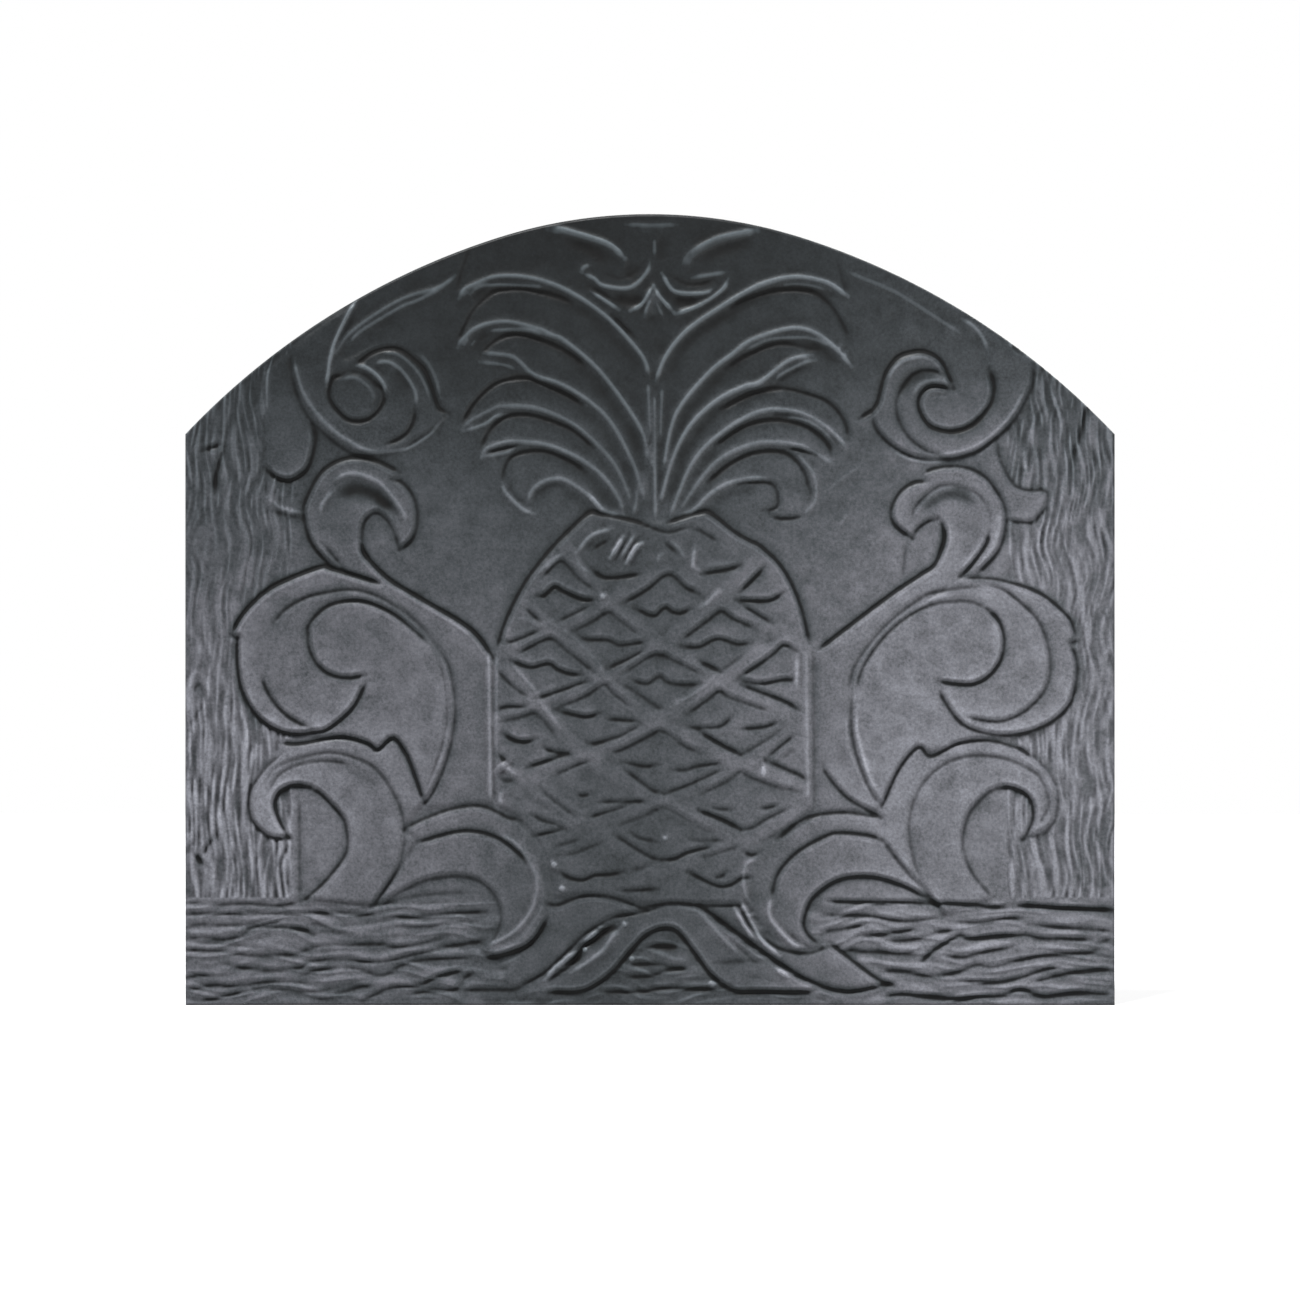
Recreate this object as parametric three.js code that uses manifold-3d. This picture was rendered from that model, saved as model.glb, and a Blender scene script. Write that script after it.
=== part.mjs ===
// Cast-iron fireback: an arched plate with a pineapple and scrolling leaves cast on its
// front, held upright by two cast legs that are bolted to bosses on its back.
// Millimetres, +Z up. The plate stands on the XY plane, its front faces -Y, and the
// origin is the middle of the whole object's footprint.

import * as THREE from "three";
import { mergeVertices } from "three/addons/utils/BufferGeometryUtils.js";
import Module from "manifold-3d";

// ---------------------------------------------------------------- driving dimensions

// Plate
const PLATE_WIDTH = 508;
const PLATE_HEIGHT = 432.5;
const PLATE_THICKNESS = 14;
const PLATE_EDGE_BEVEL = 1.6;
const CROWN_RADIUS = 274; // the middle arc of the three-centred arch
const CROWN_HALF_ANGLE = 17.6; // degrees either side of the middle
const FLANK_RADIUS = 402.5; // the arcs from the crown down to the shoulders

// Relief: heights above the plate's face
const RELIEF_HEIGHT = 5; // the pineapple's straps, the highest forms
const DRAFT_INSET = 0.9; // how far a form's walls lean in, so that it leaves the sand
const FORM_BITE = 2; // how deep the forms are rooted in the plate
const PINEAPPLE_HEIGHT = 3.6;
const STRAP_WIDTH = 11.2; // at the strap's root
const STRAP_RISE_PER_RUN = 0.68;
const STRAP_PITCH = 46; // straight up the fruit
const LEAF_HEIGHT = 3.4;
const LEAF_WIDTH = 11;
const LEAF_CREST_SHIFT = 0.7; // of half its width, towards its outer edge
const VEIN_HEIGHT = 1.6;
const VEIN_WIDTH = 4.8;
const UPPER_SCROLL_HEIGHT = 1.6;
const LOBE_HEIGHT = 1;
const HOOKED_SCROLL_HEIGHT = 1.4;
const BIG_SCROLL_HEIGHT = 2.3;
const RISING_HOOK_HEIGHT = 1.9;
const LOWEST_SCROLL_HEIGHT = 1.7;
const FOOT_LEAF_HEIGHT = 1.2;
const RIM_WIDTH = 3.2;
const RIM_HEIGHT = 3.3;
const RIM_CREST_SHIFT = 0.2;
const SIDE_GRAIN_COUNT = 6; // ridges on each side of the plate
const SIDE_GRAIN_PITCH = 9.5;
const SIDE_GRAIN_WIDTH = 4.2;
const SIDE_GRAIN_HEIGHT = 0.8;
const SIDE_GRAIN_TOP = 303; // of the outermost ridge
const SIDE_GRAIN_STEP = 7.6; // how much higher each next ridge ends
const SIDE_GRAIN_SWAY = 2.4;
const GROUND_GRAIN_PITCH = 7.2;
const GROUND_GRAIN_WIDTH = 4.6;
const GROUND_GRAIN_HEIGHT = 0.9;
const GROUND_GRAIN_SWAY = 2;
const GROUND_TOP = 56; // the top of the ground band
const GROUND_GRAIN_START = 24; // the bare middle, either side

// Legs
const LEG_INSET = 104; // from the plate's side to the leg's middle
const LEG_WIDTH = 56;
const LEG_REACH = 112; // from the flange's front face to the end of the foot
const LEG_METAL = 8;
const LEG_FLANGE_HEIGHT = 96;
const LEG_WEB_THICKNESS = 9;
const LEG_CORNER_RADIUS = 10;

// Bosses and fasteners
const BOSS_RADIUS = 13;
const BOSS_HEIGHT = 3;
const BOLT_SPACING = 30; // between the two bolts of a leg, either side of its web
const BOLT_HEIGHT = 68; // above the hearth
const BOLT_RADIUS = 4;
const BOLT_LENGTH = 24; // under the head
const BOLT_HEAD_ACROSS_FLATS = 13;
const BOLT_HEAD_THICKNESS = 5.3;
const BOLT_TIP_CHAMFER = 0.8;
const TAPPED_HOLE_DEPTH = 12; // from the boss's face
const WASHER_RADIUS = 8.5;
const WASHER_THICKNESS = 1.6;
const LOCK_WASHER_RADIUS = 6.8;
const LOCK_WASHER_THICKNESS = 2.2;
const LOCK_WASHER_SLOT = 2;

// Clearances
const SEAT_GAP = 0.3; // between faces that bear on each other
const THREAD_GAP = 0.3; // round a bolt in its tapped hole
const BOLT_HOLE_GAP = 0.6; // round a bolt in a leg's hole
const WASHER_BORE_GAP = 0.4; // round a bolt in a washer

// Smoothness
const FACET_TURN = 19; // degrees that a drawn curve turns in one facet
const ARC_SEGMENTS = 14;
const HOLE_SIDES = 16;

// ---------------------------------------------------------------- derived places

const depth =
  RELIEF_HEIGHT + PLATE_THICKNESS + BOSS_HEIGHT + SEAT_GAP + LEG_REACH;
const faceY = -depth / 2 + RELIEF_HEIGHT; // the plate's face, under the relief
const backY = faceY + PLATE_THICKNESS;
const bossY = backY + BOSS_HEIGHT;
const flangeY = bossY + SEAT_GAP;
const flangeBackY = flangeY + LEG_METAL;
const washerY = flangeBackY + SEAT_GAP;
const lockWasherY = washerY + WASHER_THICKNESS + SEAT_GAP;
const headY = lockWasherY + LOCK_WASHER_THICKNESS + SEAT_GAP;
const legSides = { left: -1, right: 1 }; // along X
const boltSides = { outer: 1, inner: -1 }; // away from the middle of the plate

// ---------------------------------------------------------------- materials

const castIron = new THREE.MeshStandardMaterial({
  color: 0x4a4e53,
  roughness: 0.55,
  metalness: 0.6,
});
const legIron = new THREE.MeshStandardMaterial({
  color: 0x3a3d41,
  roughness: 0.65,
  metalness: 0.5,
});
const fastenerSteel = new THREE.MeshStandardMaterial({
  color: 0x8d9094,
  roughness: 0.4,
  metalness: 0.9,
});

// ---------------------------------------------------------------- joining and cutting

const wasm = await Module();
wasm.setup();

function solid(geometry) {
  const bare = geometry.clone();
  bare.deleteAttribute("normal");
  bare.deleteAttribute("uv");
  const merged = mergeVertices(bare, 1e-4);
  return new wasm.Manifold(
    new wasm.Mesh({
      numProp: 3,
      vertProperties: new Float32Array(merged.attributes.position.array),
      triVerts: new Uint32Array(merged.index.array),
    }),
  );
}

function join(geometries) {
  return geometries
    .map(solid)
    .reduce((whole, piece) => whole.add(piece));
}

function geometryOf(manifold) {
  const mesh = manifold.getMesh();
  const geometry = new THREE.BufferGeometry();
  geometry.setAttribute(
    "position",
    new THREE.BufferAttribute(mesh.vertProperties, 3),
  );
  geometry.setIndex(new THREE.BufferAttribute(mesh.triVerts, 1));
  geometry.computeVertexNormals();
  return geometry;
}

function named(name, geometry, material) {
  const mesh = new THREE.Mesh(geometry, material);
  mesh.name = name;
  return mesh;
}

// ---------------------------------------------------------------- the plate's outline

function archPoint(radius, centreX, centreZ, angle) {
  return new THREE.Vector2(
    centreX + radius * Math.sin(angle),
    centreZ + radius * Math.cos(angle),
  );
}

// The right half of the arch, from the top of the crown to the shoulder.
function rightArch() {
  const turn = THREE.MathUtils.degToRad(CROWN_HALF_ANGLE);
  const crownZ = PLATE_HEIGHT - CROWN_RADIUS;
  const flankX = (CROWN_RADIUS - FLANK_RADIUS) * Math.sin(turn);
  const flankZ = crownZ + (CROWN_RADIUS - FLANK_RADIUS) * Math.cos(turn);
  const shoulderTurn = Math.asin((PLATE_WIDTH / 2 - flankX) / FLANK_RADIUS);
  const points = [];
  for (let i = 0; i < ARC_SEGMENTS; i++) {
    points.push(archPoint(CROWN_RADIUS, 0, crownZ, (turn * i) / ARC_SEGMENTS));
  }
  for (let i = 0; i <= ARC_SEGMENTS; i++) {
    const angle = turn + ((shoulderTurn - turn) * i) / ARC_SEGMENTS;
    points.push(archPoint(FLANK_RADIUS, flankX, flankZ, angle));
  }
  return points;
}

function plateShape() {
  const right = rightArch();
  const left = right
    .slice(1)
    .map((point) => new THREE.Vector2(-point.x, point.y));
  return new THREE.Shape([
    new THREE.Vector2(-PLATE_WIDTH / 2, 0),
    new THREE.Vector2(PLATE_WIDTH / 2, 0),
    ...right.slice().reverse(),
    ...left,
  ]);
}

// Forms are drawn flat as (x, height) and raised towards the viewer. This turns them
// upright, with the plate's face at their zero level.
function ontoFace(geometry) {
  return geometry.rotateX(Math.PI / 2).translate(0, faceY, 0);
}

function plateBlank() {
  const shape = plateShape();
  const geometry = new THREE.ExtrudeGeometry(shape, {
    depth: PLATE_THICKNESS - 2 * PLATE_EDGE_BEVEL,
    bevelEnabled: true,
    bevelThickness: PLATE_EDGE_BEVEL,
    bevelSize: PLATE_EDGE_BEVEL,
    bevelOffset: -PLATE_EDGE_BEVEL,
    bevelSegments: 1,
    steps: 1,
  });
  return ontoFace(geometry.translate(0, 0, PLATE_EDGE_BEVEL - PLATE_THICKNESS));
}

// ---------------------------------------------------------------- drawing the relief

// The ornament was drawn on a plate of this size. It is fitted to the plate as made.
const DRAWN_WIDTH = 508;
const DRAWN_HEIGHT = 432.5;

function placed([x, z]) {
  return new THREE.Vector2(
    (x * PLATE_WIDTH) / DRAWN_WIDTH,
    (z * PLATE_HEIGHT) / DRAWN_HEIGHT,
  );
}

// A smooth curve through a few drawn points, with facets where it turns.
function curvePoints(drawn) {
  const points = drawn.map(placed);
  let turn = 0;
  for (let i = 2; i < points.length; i++) {
    const before = points[i - 1].clone().sub(points[i - 2]);
    const after = points[i].clone().sub(points[i - 1]);
    turn += Math.abs(Math.atan2(before.cross(after), before.dot(after)));
  }
  const steps = Math.ceil(THREE.MathUtils.radToDeg(turn) / FACET_TURN);
  return new THREE.SplineCurve(points).getPoints(Math.max(1, steps));
}

// A raised form with drafted walls. Its outline is smooth runs that meet at corners,
// and each run begins where the last one ended.
function form(height, ...runs) {
  const outline = runs.flatMap((run) => curvePoints(run).slice(1));
  const geometry = new THREE.ExtrudeGeometry(new THREE.Shape(outline), {
    depth: FORM_BITE,
    bevelEnabled: true,
    bevelThickness: height,
    bevelSize: DRAFT_INSET,
    bevelOffset: -DRAFT_INSET,
    bevelSegments: 1,
    steps: 1,
  });
  return ontoFace(geometry.translate(0, 0, -FORM_BITE));
}

// A ridge along a smooth curve, widest in its middle and thin at its ends. lean moves
// the crest to the left (positive) or right of the curve's direction, in half widths.
function ridge(points, width, height, lean = 0, thinnest = 0.25) {
  const positions = [];
  const last = points.length - 1;
  points.forEach((point, i) => {
    const ahead = points[Math.min(i + 1, last)]
      .clone()
      .sub(points[Math.max(i - 1, 0)])
      .normalize();
    const side = new THREE.Vector2(-ahead.y, ahead.x);
    const swell = Math.sin((Math.PI * (i + 0.5)) / (last + 1));
    const share = thinnest + (1 - thinnest) * swell;
    const half = (width / 2) * share;
    const left = point.clone().addScaledVector(side, half);
    const crest = point.clone().addScaledVector(side, half * lean);
    const right = point.clone().addScaledVector(side, -half);
    positions.push(left.x, left.y, -FORM_BITE);
    positions.push(crest.x, crest.y, height * (0.5 + 0.5 * share));
    positions.push(right.x, right.y, -FORM_BITE);
  });
  const faces = [0, 2, 1];
  for (let i = 0; i < last; i++) {
    for (let corner = 0; corner < 3; corner++) {
      const a = 3 * i + corner;
      const b = 3 * i + ((corner + 1) % 3);
      faces.push(a, b, a + 3);
      faces.push(b, b + 3, a + 3);
    }
  }
  faces.push(3 * last, 3 * last + 1, 3 * last + 2);
  const geometry = new THREE.BufferGeometry();
  geometry.setAttribute(
    "position",
    new THREE.Float32BufferAttribute(positions, 3),
  );
  geometry.setIndex(faces);
  return ontoFace(geometry);
}

// ---------------------------------------------------------------- scrolls

const scrollForms = [
  // The scrolls in the upper corners hang from the plate's edge.
  form(
    UPPER_SCROLL_HEIGHT,
    [[-196, 357], [-193, 333], [-183, 317], [-166, 304], [-150, 301], [-133, 305], [-110, 324]],
    [[-110, 324], [-116, 330], [-121, 344], [-132, 355], [-144, 360], [-168, 351]],
    [[-168, 351], [-170, 361], [-159, 382]],
    [[-159, 382], [-190, 363], [-196, 357]],
  ),
  form(
    UPPER_SCROLL_HEIGHT,
    [[115, 323], [124, 331], [127, 342], [132, 351], [143, 357], [156, 355], [167, 339]],
    [[167, 339], [152, 340], [145, 328], [154, 315], [170, 312], [184, 323], [186, 348]],
    [[186, 348], [185, 357], [180, 366]],
    [[180, 366], [208, 349]],
    [[208, 349], [205, 329], [191, 312], [172, 301], [151, 298], [134, 304], [118, 318]],
    [[118, 318], [115, 323]],
  ),
  // Small lobes under them.
  form(
    LOBE_HEIGHT,
    [[-210, 294], [-206, 290], [-195, 288], [-185, 296], [-182, 310], [-186, 320]],
    [[-186, 320], [-193, 333], [-196, 357]],
    [[-196, 357], [-206, 348], [-210, 331], [-210, 294]],
  ),
  form(
    LOBE_HEIGHT,
    [[190, 310], [194, 294], [203, 283], [218, 282]],
    [[218, 282], [217, 273], [208, 264], [195, 265]],
    [[195, 265], [193, 276], [178, 298]],
    [[178, 298], [190, 310]],
  ),
  // Hooked scrolls whose stems run down beside the pineapple.
  form(
    HOOKED_SCROLL_HEIGHT,
    [[-136, 292], [-151, 298], [-165, 300], [-179, 292], [-188, 277], [-187, 259], [-166, 236]],
    [[-166, 236], [-141, 220], [-119, 200], [-107, 171], [-109, 140], [-123, 108]],
    [[-123, 108], [-86, 111]],
    [[-86, 111], [-85, 190]],
    [[-85, 190], [-115, 217], [-134, 228], [-149, 240], [-156, 264], [-150, 270], [-137, 249]],
    [[-137, 249], [-128, 258], [-127, 271], [-132, 283], [-141, 288]],
    [[-141, 288], [-136, 292]],
  ),
  form(
    HOOKED_SCROLL_HEIGHT,
    [[149, 290], [161, 295], [178, 293], [190, 282], [196, 265], [191, 249], [179, 236]],
    [[179, 236], [145, 215], [121, 194], [110, 161], [113, 138], [127, 108]],
    [[127, 108], [92, 105]],
    [[92, 105], [91, 194]],
    [[91, 194], [138, 230], [155, 241], [161, 255], [157, 266]],
    [[157, 266], [151, 265], [143, 255]],
    [[143, 255], [133, 265], [132, 271], [139, 283], [153, 287]],
    [[153, 287], [149, 290]],
  ),
  // The big scrolls at half height.
  form(
    BIG_SCROLL_HEIGHT,
    [[-145, 230], [-164, 236], [-180, 240], [-200, 232], [-219, 218], [-228, 203]],
    [[-228, 203], [-224, 200]],
    [[-224, 200], [-225, 183], [-220, 165], [-206, 152], [-191, 148], [-174, 152], [-155, 177]],
    [[-155, 177], [-157, 164], [-163, 154], [-169, 148]],
    [[-169, 148], [-154, 144], [-149, 140], [-141, 146]],
    [[-141, 146], [-132, 136], [-124, 111]],
    [[-124, 111], [-113, 129], [-106, 161], [-113, 192], [-133, 214], [-145, 230]],
  ),
  form(
    BIG_SCROLL_HEIGHT,
    [[170, 235], [191, 233], [213, 226], [227, 214], [234, 200]],
    [[234, 200], [230, 199]],
    [[230, 199], [234, 181], [225, 159], [211, 150], [194, 148], [178, 150], [158, 173]],
    [[158, 173], [161, 160], [167, 149], [174, 145]],
    [[174, 145], [161, 140], [150, 138], [147, 142]],
    [[147, 142], [137, 130], [127, 108]],
    [[127, 108], [113, 138], [110, 161], [116, 184], [137, 210], [170, 235]],
  ),
  // The hooks that rise from the ground band under them.
  form(
    RISING_HOOK_HEIGHT,
    [[-202, 143], [-180, 146], [-161, 146], [-149, 140]],
    [[-149, 140], [-141, 146]],
    [[-141, 146], [-132, 136], [-123, 112]],
    [[-123, 112], [-134, 96], [-128, 90]],
    [[-128, 90], [-134, 78], [-151, 55]],
    [[-151, 55], [-190, 57]],
    [[-190, 57], [-172, 74], [-165, 88], [-168, 104], [-179, 116], [-192, 120], [-203, 114]],
    [[-203, 114], [-203, 104], [-196, 91]],
    [[-196, 91], [-208, 93], [-217, 101], [-219, 109], [-216, 123], [-202, 138]],
    [[-202, 138], [-202, 143]],
  ),
  form(
    RISING_HOOK_HEIGHT,
    [[127, 107], [137, 130], [147, 141]],
    [[147, 141], [154, 136]],
    [[154, 136], [169, 143], [186, 145], [203, 141]],
    [[203, 141], [220, 125], [223, 111], [219, 98], [204, 91]],
    [[204, 91], [209, 102], [206, 114], [190, 119], [175, 105], [172, 90], [188, 59]],
    [[188, 59], [161, 51]],
    [[161, 51], [145, 68], [127, 91]],
    [[127, 91], [127, 107]],
  ),
  // The lowest scrolls curl in towards the foot of the pineapple.
  form(
    LOWEST_SCROLL_HEIGHT,
    [[-134, 96], [-118, 105], [-98, 110], [-78, 104], [-57, 85], [-54, 60], [-60, 41], [-92, 30]],
    [[-92, 30], [-82, 43], [-83, 57], [-92, 68], [-109, 71], [-128, 66], [-149, 55]],
    [[-149, 55], [-127, 91]],
    [[-127, 91], [-134, 96]],
  ),
  form(
    LOWEST_SCROLL_HEIGHT,
    [[70, 93], [82, 101], [98, 106], [126, 104]],
    [[126, 104], [127, 91]],
    [[127, 91], [138, 76], [158, 55]],
    [[158, 55], [131, 69], [113, 71], [96, 65], [86, 54], [85, 42], [94, 33]],
    [[94, 33], [78, 32], [64, 42], [56, 58], [58, 77], [70, 93]],
  ),
  // Leaves at the foot of the pineapple, over the ground band.
  form(
    FOOT_LEAF_HEIGHT,
    [[-57, 57], [-35, 60], [-9, 56], [50, 56]],
    [[50, 56], [56, 43], [76, 30], [98, 33]],
    [[98, 33], [134, 11]],
    [[134, 11], [115, 9], [88, 13], [63, 29], [36, 44], [12, 48], [-19, 46], [-36, 37], [-71, 11]],
    [[-71, 11], [-79, 17], [-60, 41], [-57, 57]],
  ),
];

// ---------------------------------------------------------------- rims on the scrolls

// Thin raised rims that follow the scrolls' edges and their inner turns.
const scrollRims = [
  [[-194, 352], [-192, 336], [-182, 319], [-166, 307], [-150, 303], [-133, 307], [-112, 322]],
  [[-174, 345], [-176, 337], [-171, 321], [-161, 316], [-149, 325], [-147, 341]],
  [[-150, 351], [-140, 350], [-130, 340], [-128, 322], [-137, 309]],
  [[-160, 385], [-170, 364], [-176, 338]],
  [[-172, 354], [-157, 374], [-126, 392], [-106, 399]],
  [[207, 349], [202, 328], [184, 311], [156, 301], [137, 305], [126, 316]],
  [[167, 340], [153, 344], [140, 340], [135, 331], [140, 315], [150, 306]],
  [[108, 400], [137, 388], [170, 367], [184, 358]],
  [[-168, 289], [-155, 290], [-145, 283], [-135, 271], [-133, 265]],
  [[-184, 269], [-185, 261], [-174, 241]],
  [[143, 268], [152, 279], [167, 283], [180, 277], [187, 260], [179, 243]],
  [[-205, 209], [-191, 221], [-169, 227], [-145, 223], [-119, 200], [-106, 170], [-110, 139], [-122, 110]],
  [[-212, 178], [-205, 165], [-184, 153]],
  [[-155, 179], [-169, 181], [-185, 192], [-185, 210], [-166, 221], [-142, 217], [-122, 200]],
  [[178, 232], [195, 226], [208, 213], [218, 192], [216, 173], [203, 160], [186, 155]],
  [[158, 175], [172, 176], [189, 186], [193, 205], [182, 219], [165, 223]],
  [[165, 220], [137, 211], [116, 186], [111, 161], [116, 130]],
  [[-209, 119], [-195, 134], [-169, 137], [-146, 125], [-135, 103], [-134, 85], [-151, 57]],
  [[-194, 91], [-204, 108], [-198, 119], [-184, 116], [-166, 97], [-168, 80], [-188, 58]],
  [[159, 52], [145, 80], [143, 108], [156, 129], [175, 137], [201, 134], [218, 112], [213, 98]],
  [[205, 91], [207, 111], [192, 119], [176, 106], [172, 80], [187, 60]],
  [[-126, 91], [-103, 96], [-78, 90], [-61, 75], [-59, 58], [-71, 37], [-88, 31]],
  [[-144, 56], [-125, 67], [-99, 70], [-83, 57], [-84, 42], [-92, 32]],
  [[126, 92], [103, 95], [81, 84], [67, 67], [67, 50], [82, 34]],
  [[154, 58], [131, 68], [104, 69], [87, 55], [88, 41], [95, 34]],
];

// ---------------------------------------------------------------- pineapple

const pineappleOutline = [
  [[-84, 195], [-74, 222], [-62, 240], [-33, 270]],
  [[-33, 270], [-1, 264]],
  [[-1, 264], [33, 270]],
  [[33, 270], [46, 260], [67, 246], [78, 231], [89, 195]],
  [[89, 195], [90, 109]],
  [[90, 109], [76, 96], [63, 77], [54, 57]],
  [[54, 57], [-9, 56], [-35, 60], [-51, 59]],
  [[-51, 59], [-57, 82], [-70, 101], [-83, 111]],
  [[-83, 111], [-84, 195]],
];
const PINEAPPLE_MIDDLE_X = 3;
const PINEAPPLE_MIDDLE_Z = 163;
const STRAPS_EACH_WAY = 4; // either side of the middle one

// Straps that cross the fruit both ways and leave diamond cells between them.
function straps() {
  const bars = [];
  const halfLength = PLATE_WIDTH * 0.3;
  for (const way of [-1, 1]) {
    for (let i = -STRAPS_EACH_WAY; i <= STRAPS_EACH_WAY; i++) {
      const middle = PINEAPPLE_MIDDLE_Z + i * STRAP_PITCH;
      const start = [
        PINEAPPLE_MIDDLE_X - halfLength,
        middle - way * halfLength * STRAP_RISE_PER_RUN,
      ];
      const end = [
        PINEAPPLE_MIDDLE_X + halfLength,
        middle + way * halfLength * STRAP_RISE_PER_RUN,
      ];
      const line = curvePoints([start, end]);
      bars.push(ridge(line, STRAP_WIDTH, RELIEF_HEIGHT, 0, 1));
    }
  }
  return bars;
}

// ---------------------------------------------------------------- crown of leaves

// Each leaf springs from the neck and arches outwards, with its crest on the outer edge.
const leftLeaves = [
  [[-2, 346], [-8, 366], [-21, 380], [-36, 391], [-55, 398], [-77, 399], [-96, 394], [-104, 387]],
  [[-2, 303], [-10, 327], [-25, 347], [-41, 361], [-63, 371], [-84, 373], [-99, 366]],
  [[-5, 284], [-14, 306], [-31, 329], [-50, 340], [-66, 346], [-79, 355], [-93, 354]],
  [[-10, 278], [-21, 298], [-34, 313], [-55, 325], [-76, 328], [-95, 323], [-102, 316]],
  [[-11, 267], [-23, 286], [-39, 299], [-58, 307], [-77, 306], [-92, 300]],
  [[-10, 267], [-27, 272], [-39, 284], [-54, 288], [-64, 282], [-66, 275]],
];
const rightLeaves = [
  [[3, 342], [10, 358], [22, 371], [38, 383], [63, 396], [87, 398], [108, 387]],
  [[8, 295], [14, 320], [29, 342], [44, 355], [69, 369], [92, 367], [110, 351]],
  [[9, 282], [20, 311], [37, 330], [57, 340], [69, 349], [90, 354]],
  [[12, 268], [23, 297], [44, 317], [63, 324], [82, 324], [97, 315], [106, 306]],
  [[15, 270], [27, 288], [43, 301], [63, 307], [82, 305], [97, 298]],
  [[15, 269], [30, 276], [44, 286], [64, 287], [71, 279], [66, 271]],
];
const leafCurls = [
  [[-80, 286], [-78, 281], [-69, 272], [-63, 269]],
  [[88, 286], [88, 274], [79, 268], [66, 269]],
];
const crownRibs = [
  [[-1, 264], [-1, 300], [-1, 343]],
  [[4, 264], [4, 300], [3, 338]],
];
const topCurls = [
  [[-52, 426], [-27, 418], [-14, 406]],
  [[-37, 401], [-17, 392], [-4, 398], [1, 412]],
  [[-32, 390], [-14, 379], [2, 392], [14, 378], [30, 382], [42, 397]],
  [[60, 424], [35, 417], [22, 407]],
  [[7, 403], [15, 390], [30, 389], [36, 393]],
];

// ---------------------------------------------------------------- grain

function waved(from, to, sway, phase) {
  const points = [];
  const steps = 9;
  for (let i = 0; i <= steps; i++) {
    const along = i / steps;
    const swing = sway * Math.sin(phase + 5.2 * along) * Math.sin(Math.PI * along);
    points.push(
      new THREE.Vector2(
        THREE.MathUtils.lerp(from.x, to.x, along) + (from.x === to.x ? swing : 0),
        THREE.MathUtils.lerp(from.y, to.y, along) + (from.y === to.y ? swing : 0),
      ),
    );
  }
  return points;
}

// Upright grain beside the scrolls, on both sides of the plate.
function sideGrain() {
  const ridges = [];
  const edge = PLATE_WIDTH / 2 - PLATE_EDGE_BEVEL;
  for (const side of [-1, 1]) {
    for (let i = 0; i < SIDE_GRAIN_COUNT; i++) {
      const x = side * (edge - SIDE_GRAIN_PITCH * (i + 0.6));
      const from = new THREE.Vector2(x, GROUND_TOP);
      const to = new THREE.Vector2(x, SIDE_GRAIN_TOP + SIDE_GRAIN_STEP * i);
      const line = waved(from, to, SIDE_GRAIN_SWAY, 1.7 * i + side);
      ridges.push(ridge(line, SIDE_GRAIN_WIDTH, SIDE_GRAIN_HEIGHT, 0, 0.8));
    }
  }
  return ridges;
}

// Level grain across the ground band.
function groundGrain() {
  const ridges = [];
  const edge = PLATE_WIDTH / 2 - PLATE_EDGE_BEVEL;
  const count = Math.floor((GROUND_TOP - PLATE_EDGE_BEVEL) / GROUND_GRAIN_PITCH);
  for (let i = 0; i < count; i++) {
    const z = PLATE_EDGE_BEVEL + GROUND_GRAIN_PITCH * (i + 0.6);
    for (const side of [-1, 1]) {
      const from = new THREE.Vector2(side * edge, z);
      const to = new THREE.Vector2(side * GROUND_GRAIN_START, z);
      const line = waved(from, to, GROUND_GRAIN_SWAY, 2.3 * i + side);
      ridges.push(ridge(line, GROUND_GRAIN_WIDTH, GROUND_GRAIN_HEIGHT, 0, 0.8));
    }
  }
  return ridges;
}

// ---------------------------------------------------------------- the plate

function legX(side) {
  return side * (PLATE_WIDTH / 2 - LEG_INSET);
}

function boltXs() {
  return Object.values(legSides).flatMap((side) =>
    Object.values(boltSides).map((out) => legX(side) + (out * BOLT_SPACING) / 2),
  );
}

function boss(x) {
  const height = BOSS_HEIGHT + FORM_BITE;
  const pad = new THREE.CylinderGeometry(
    BOSS_RADIUS - DRAFT_INSET,
    BOSS_RADIUS,
    height,
    HOLE_SIDES,
  );
  return pad.translate(x, backY - FORM_BITE + height / 2, BOLT_HEIGHT);
}

function tappedHole(x) {
  const radius = BOLT_RADIUS + THREAD_GAP;
  const overshoot = 1;
  const length = TAPPED_HOLE_DEPTH + overshoot;
  const hole = new THREE.CylinderGeometry(radius, radius, length, HOLE_SIDES);
  const middle = bossY - TAPPED_HOLE_DEPTH + length / 2;
  return hole.translate(x, middle, BOLT_HEIGHT);
}

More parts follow.
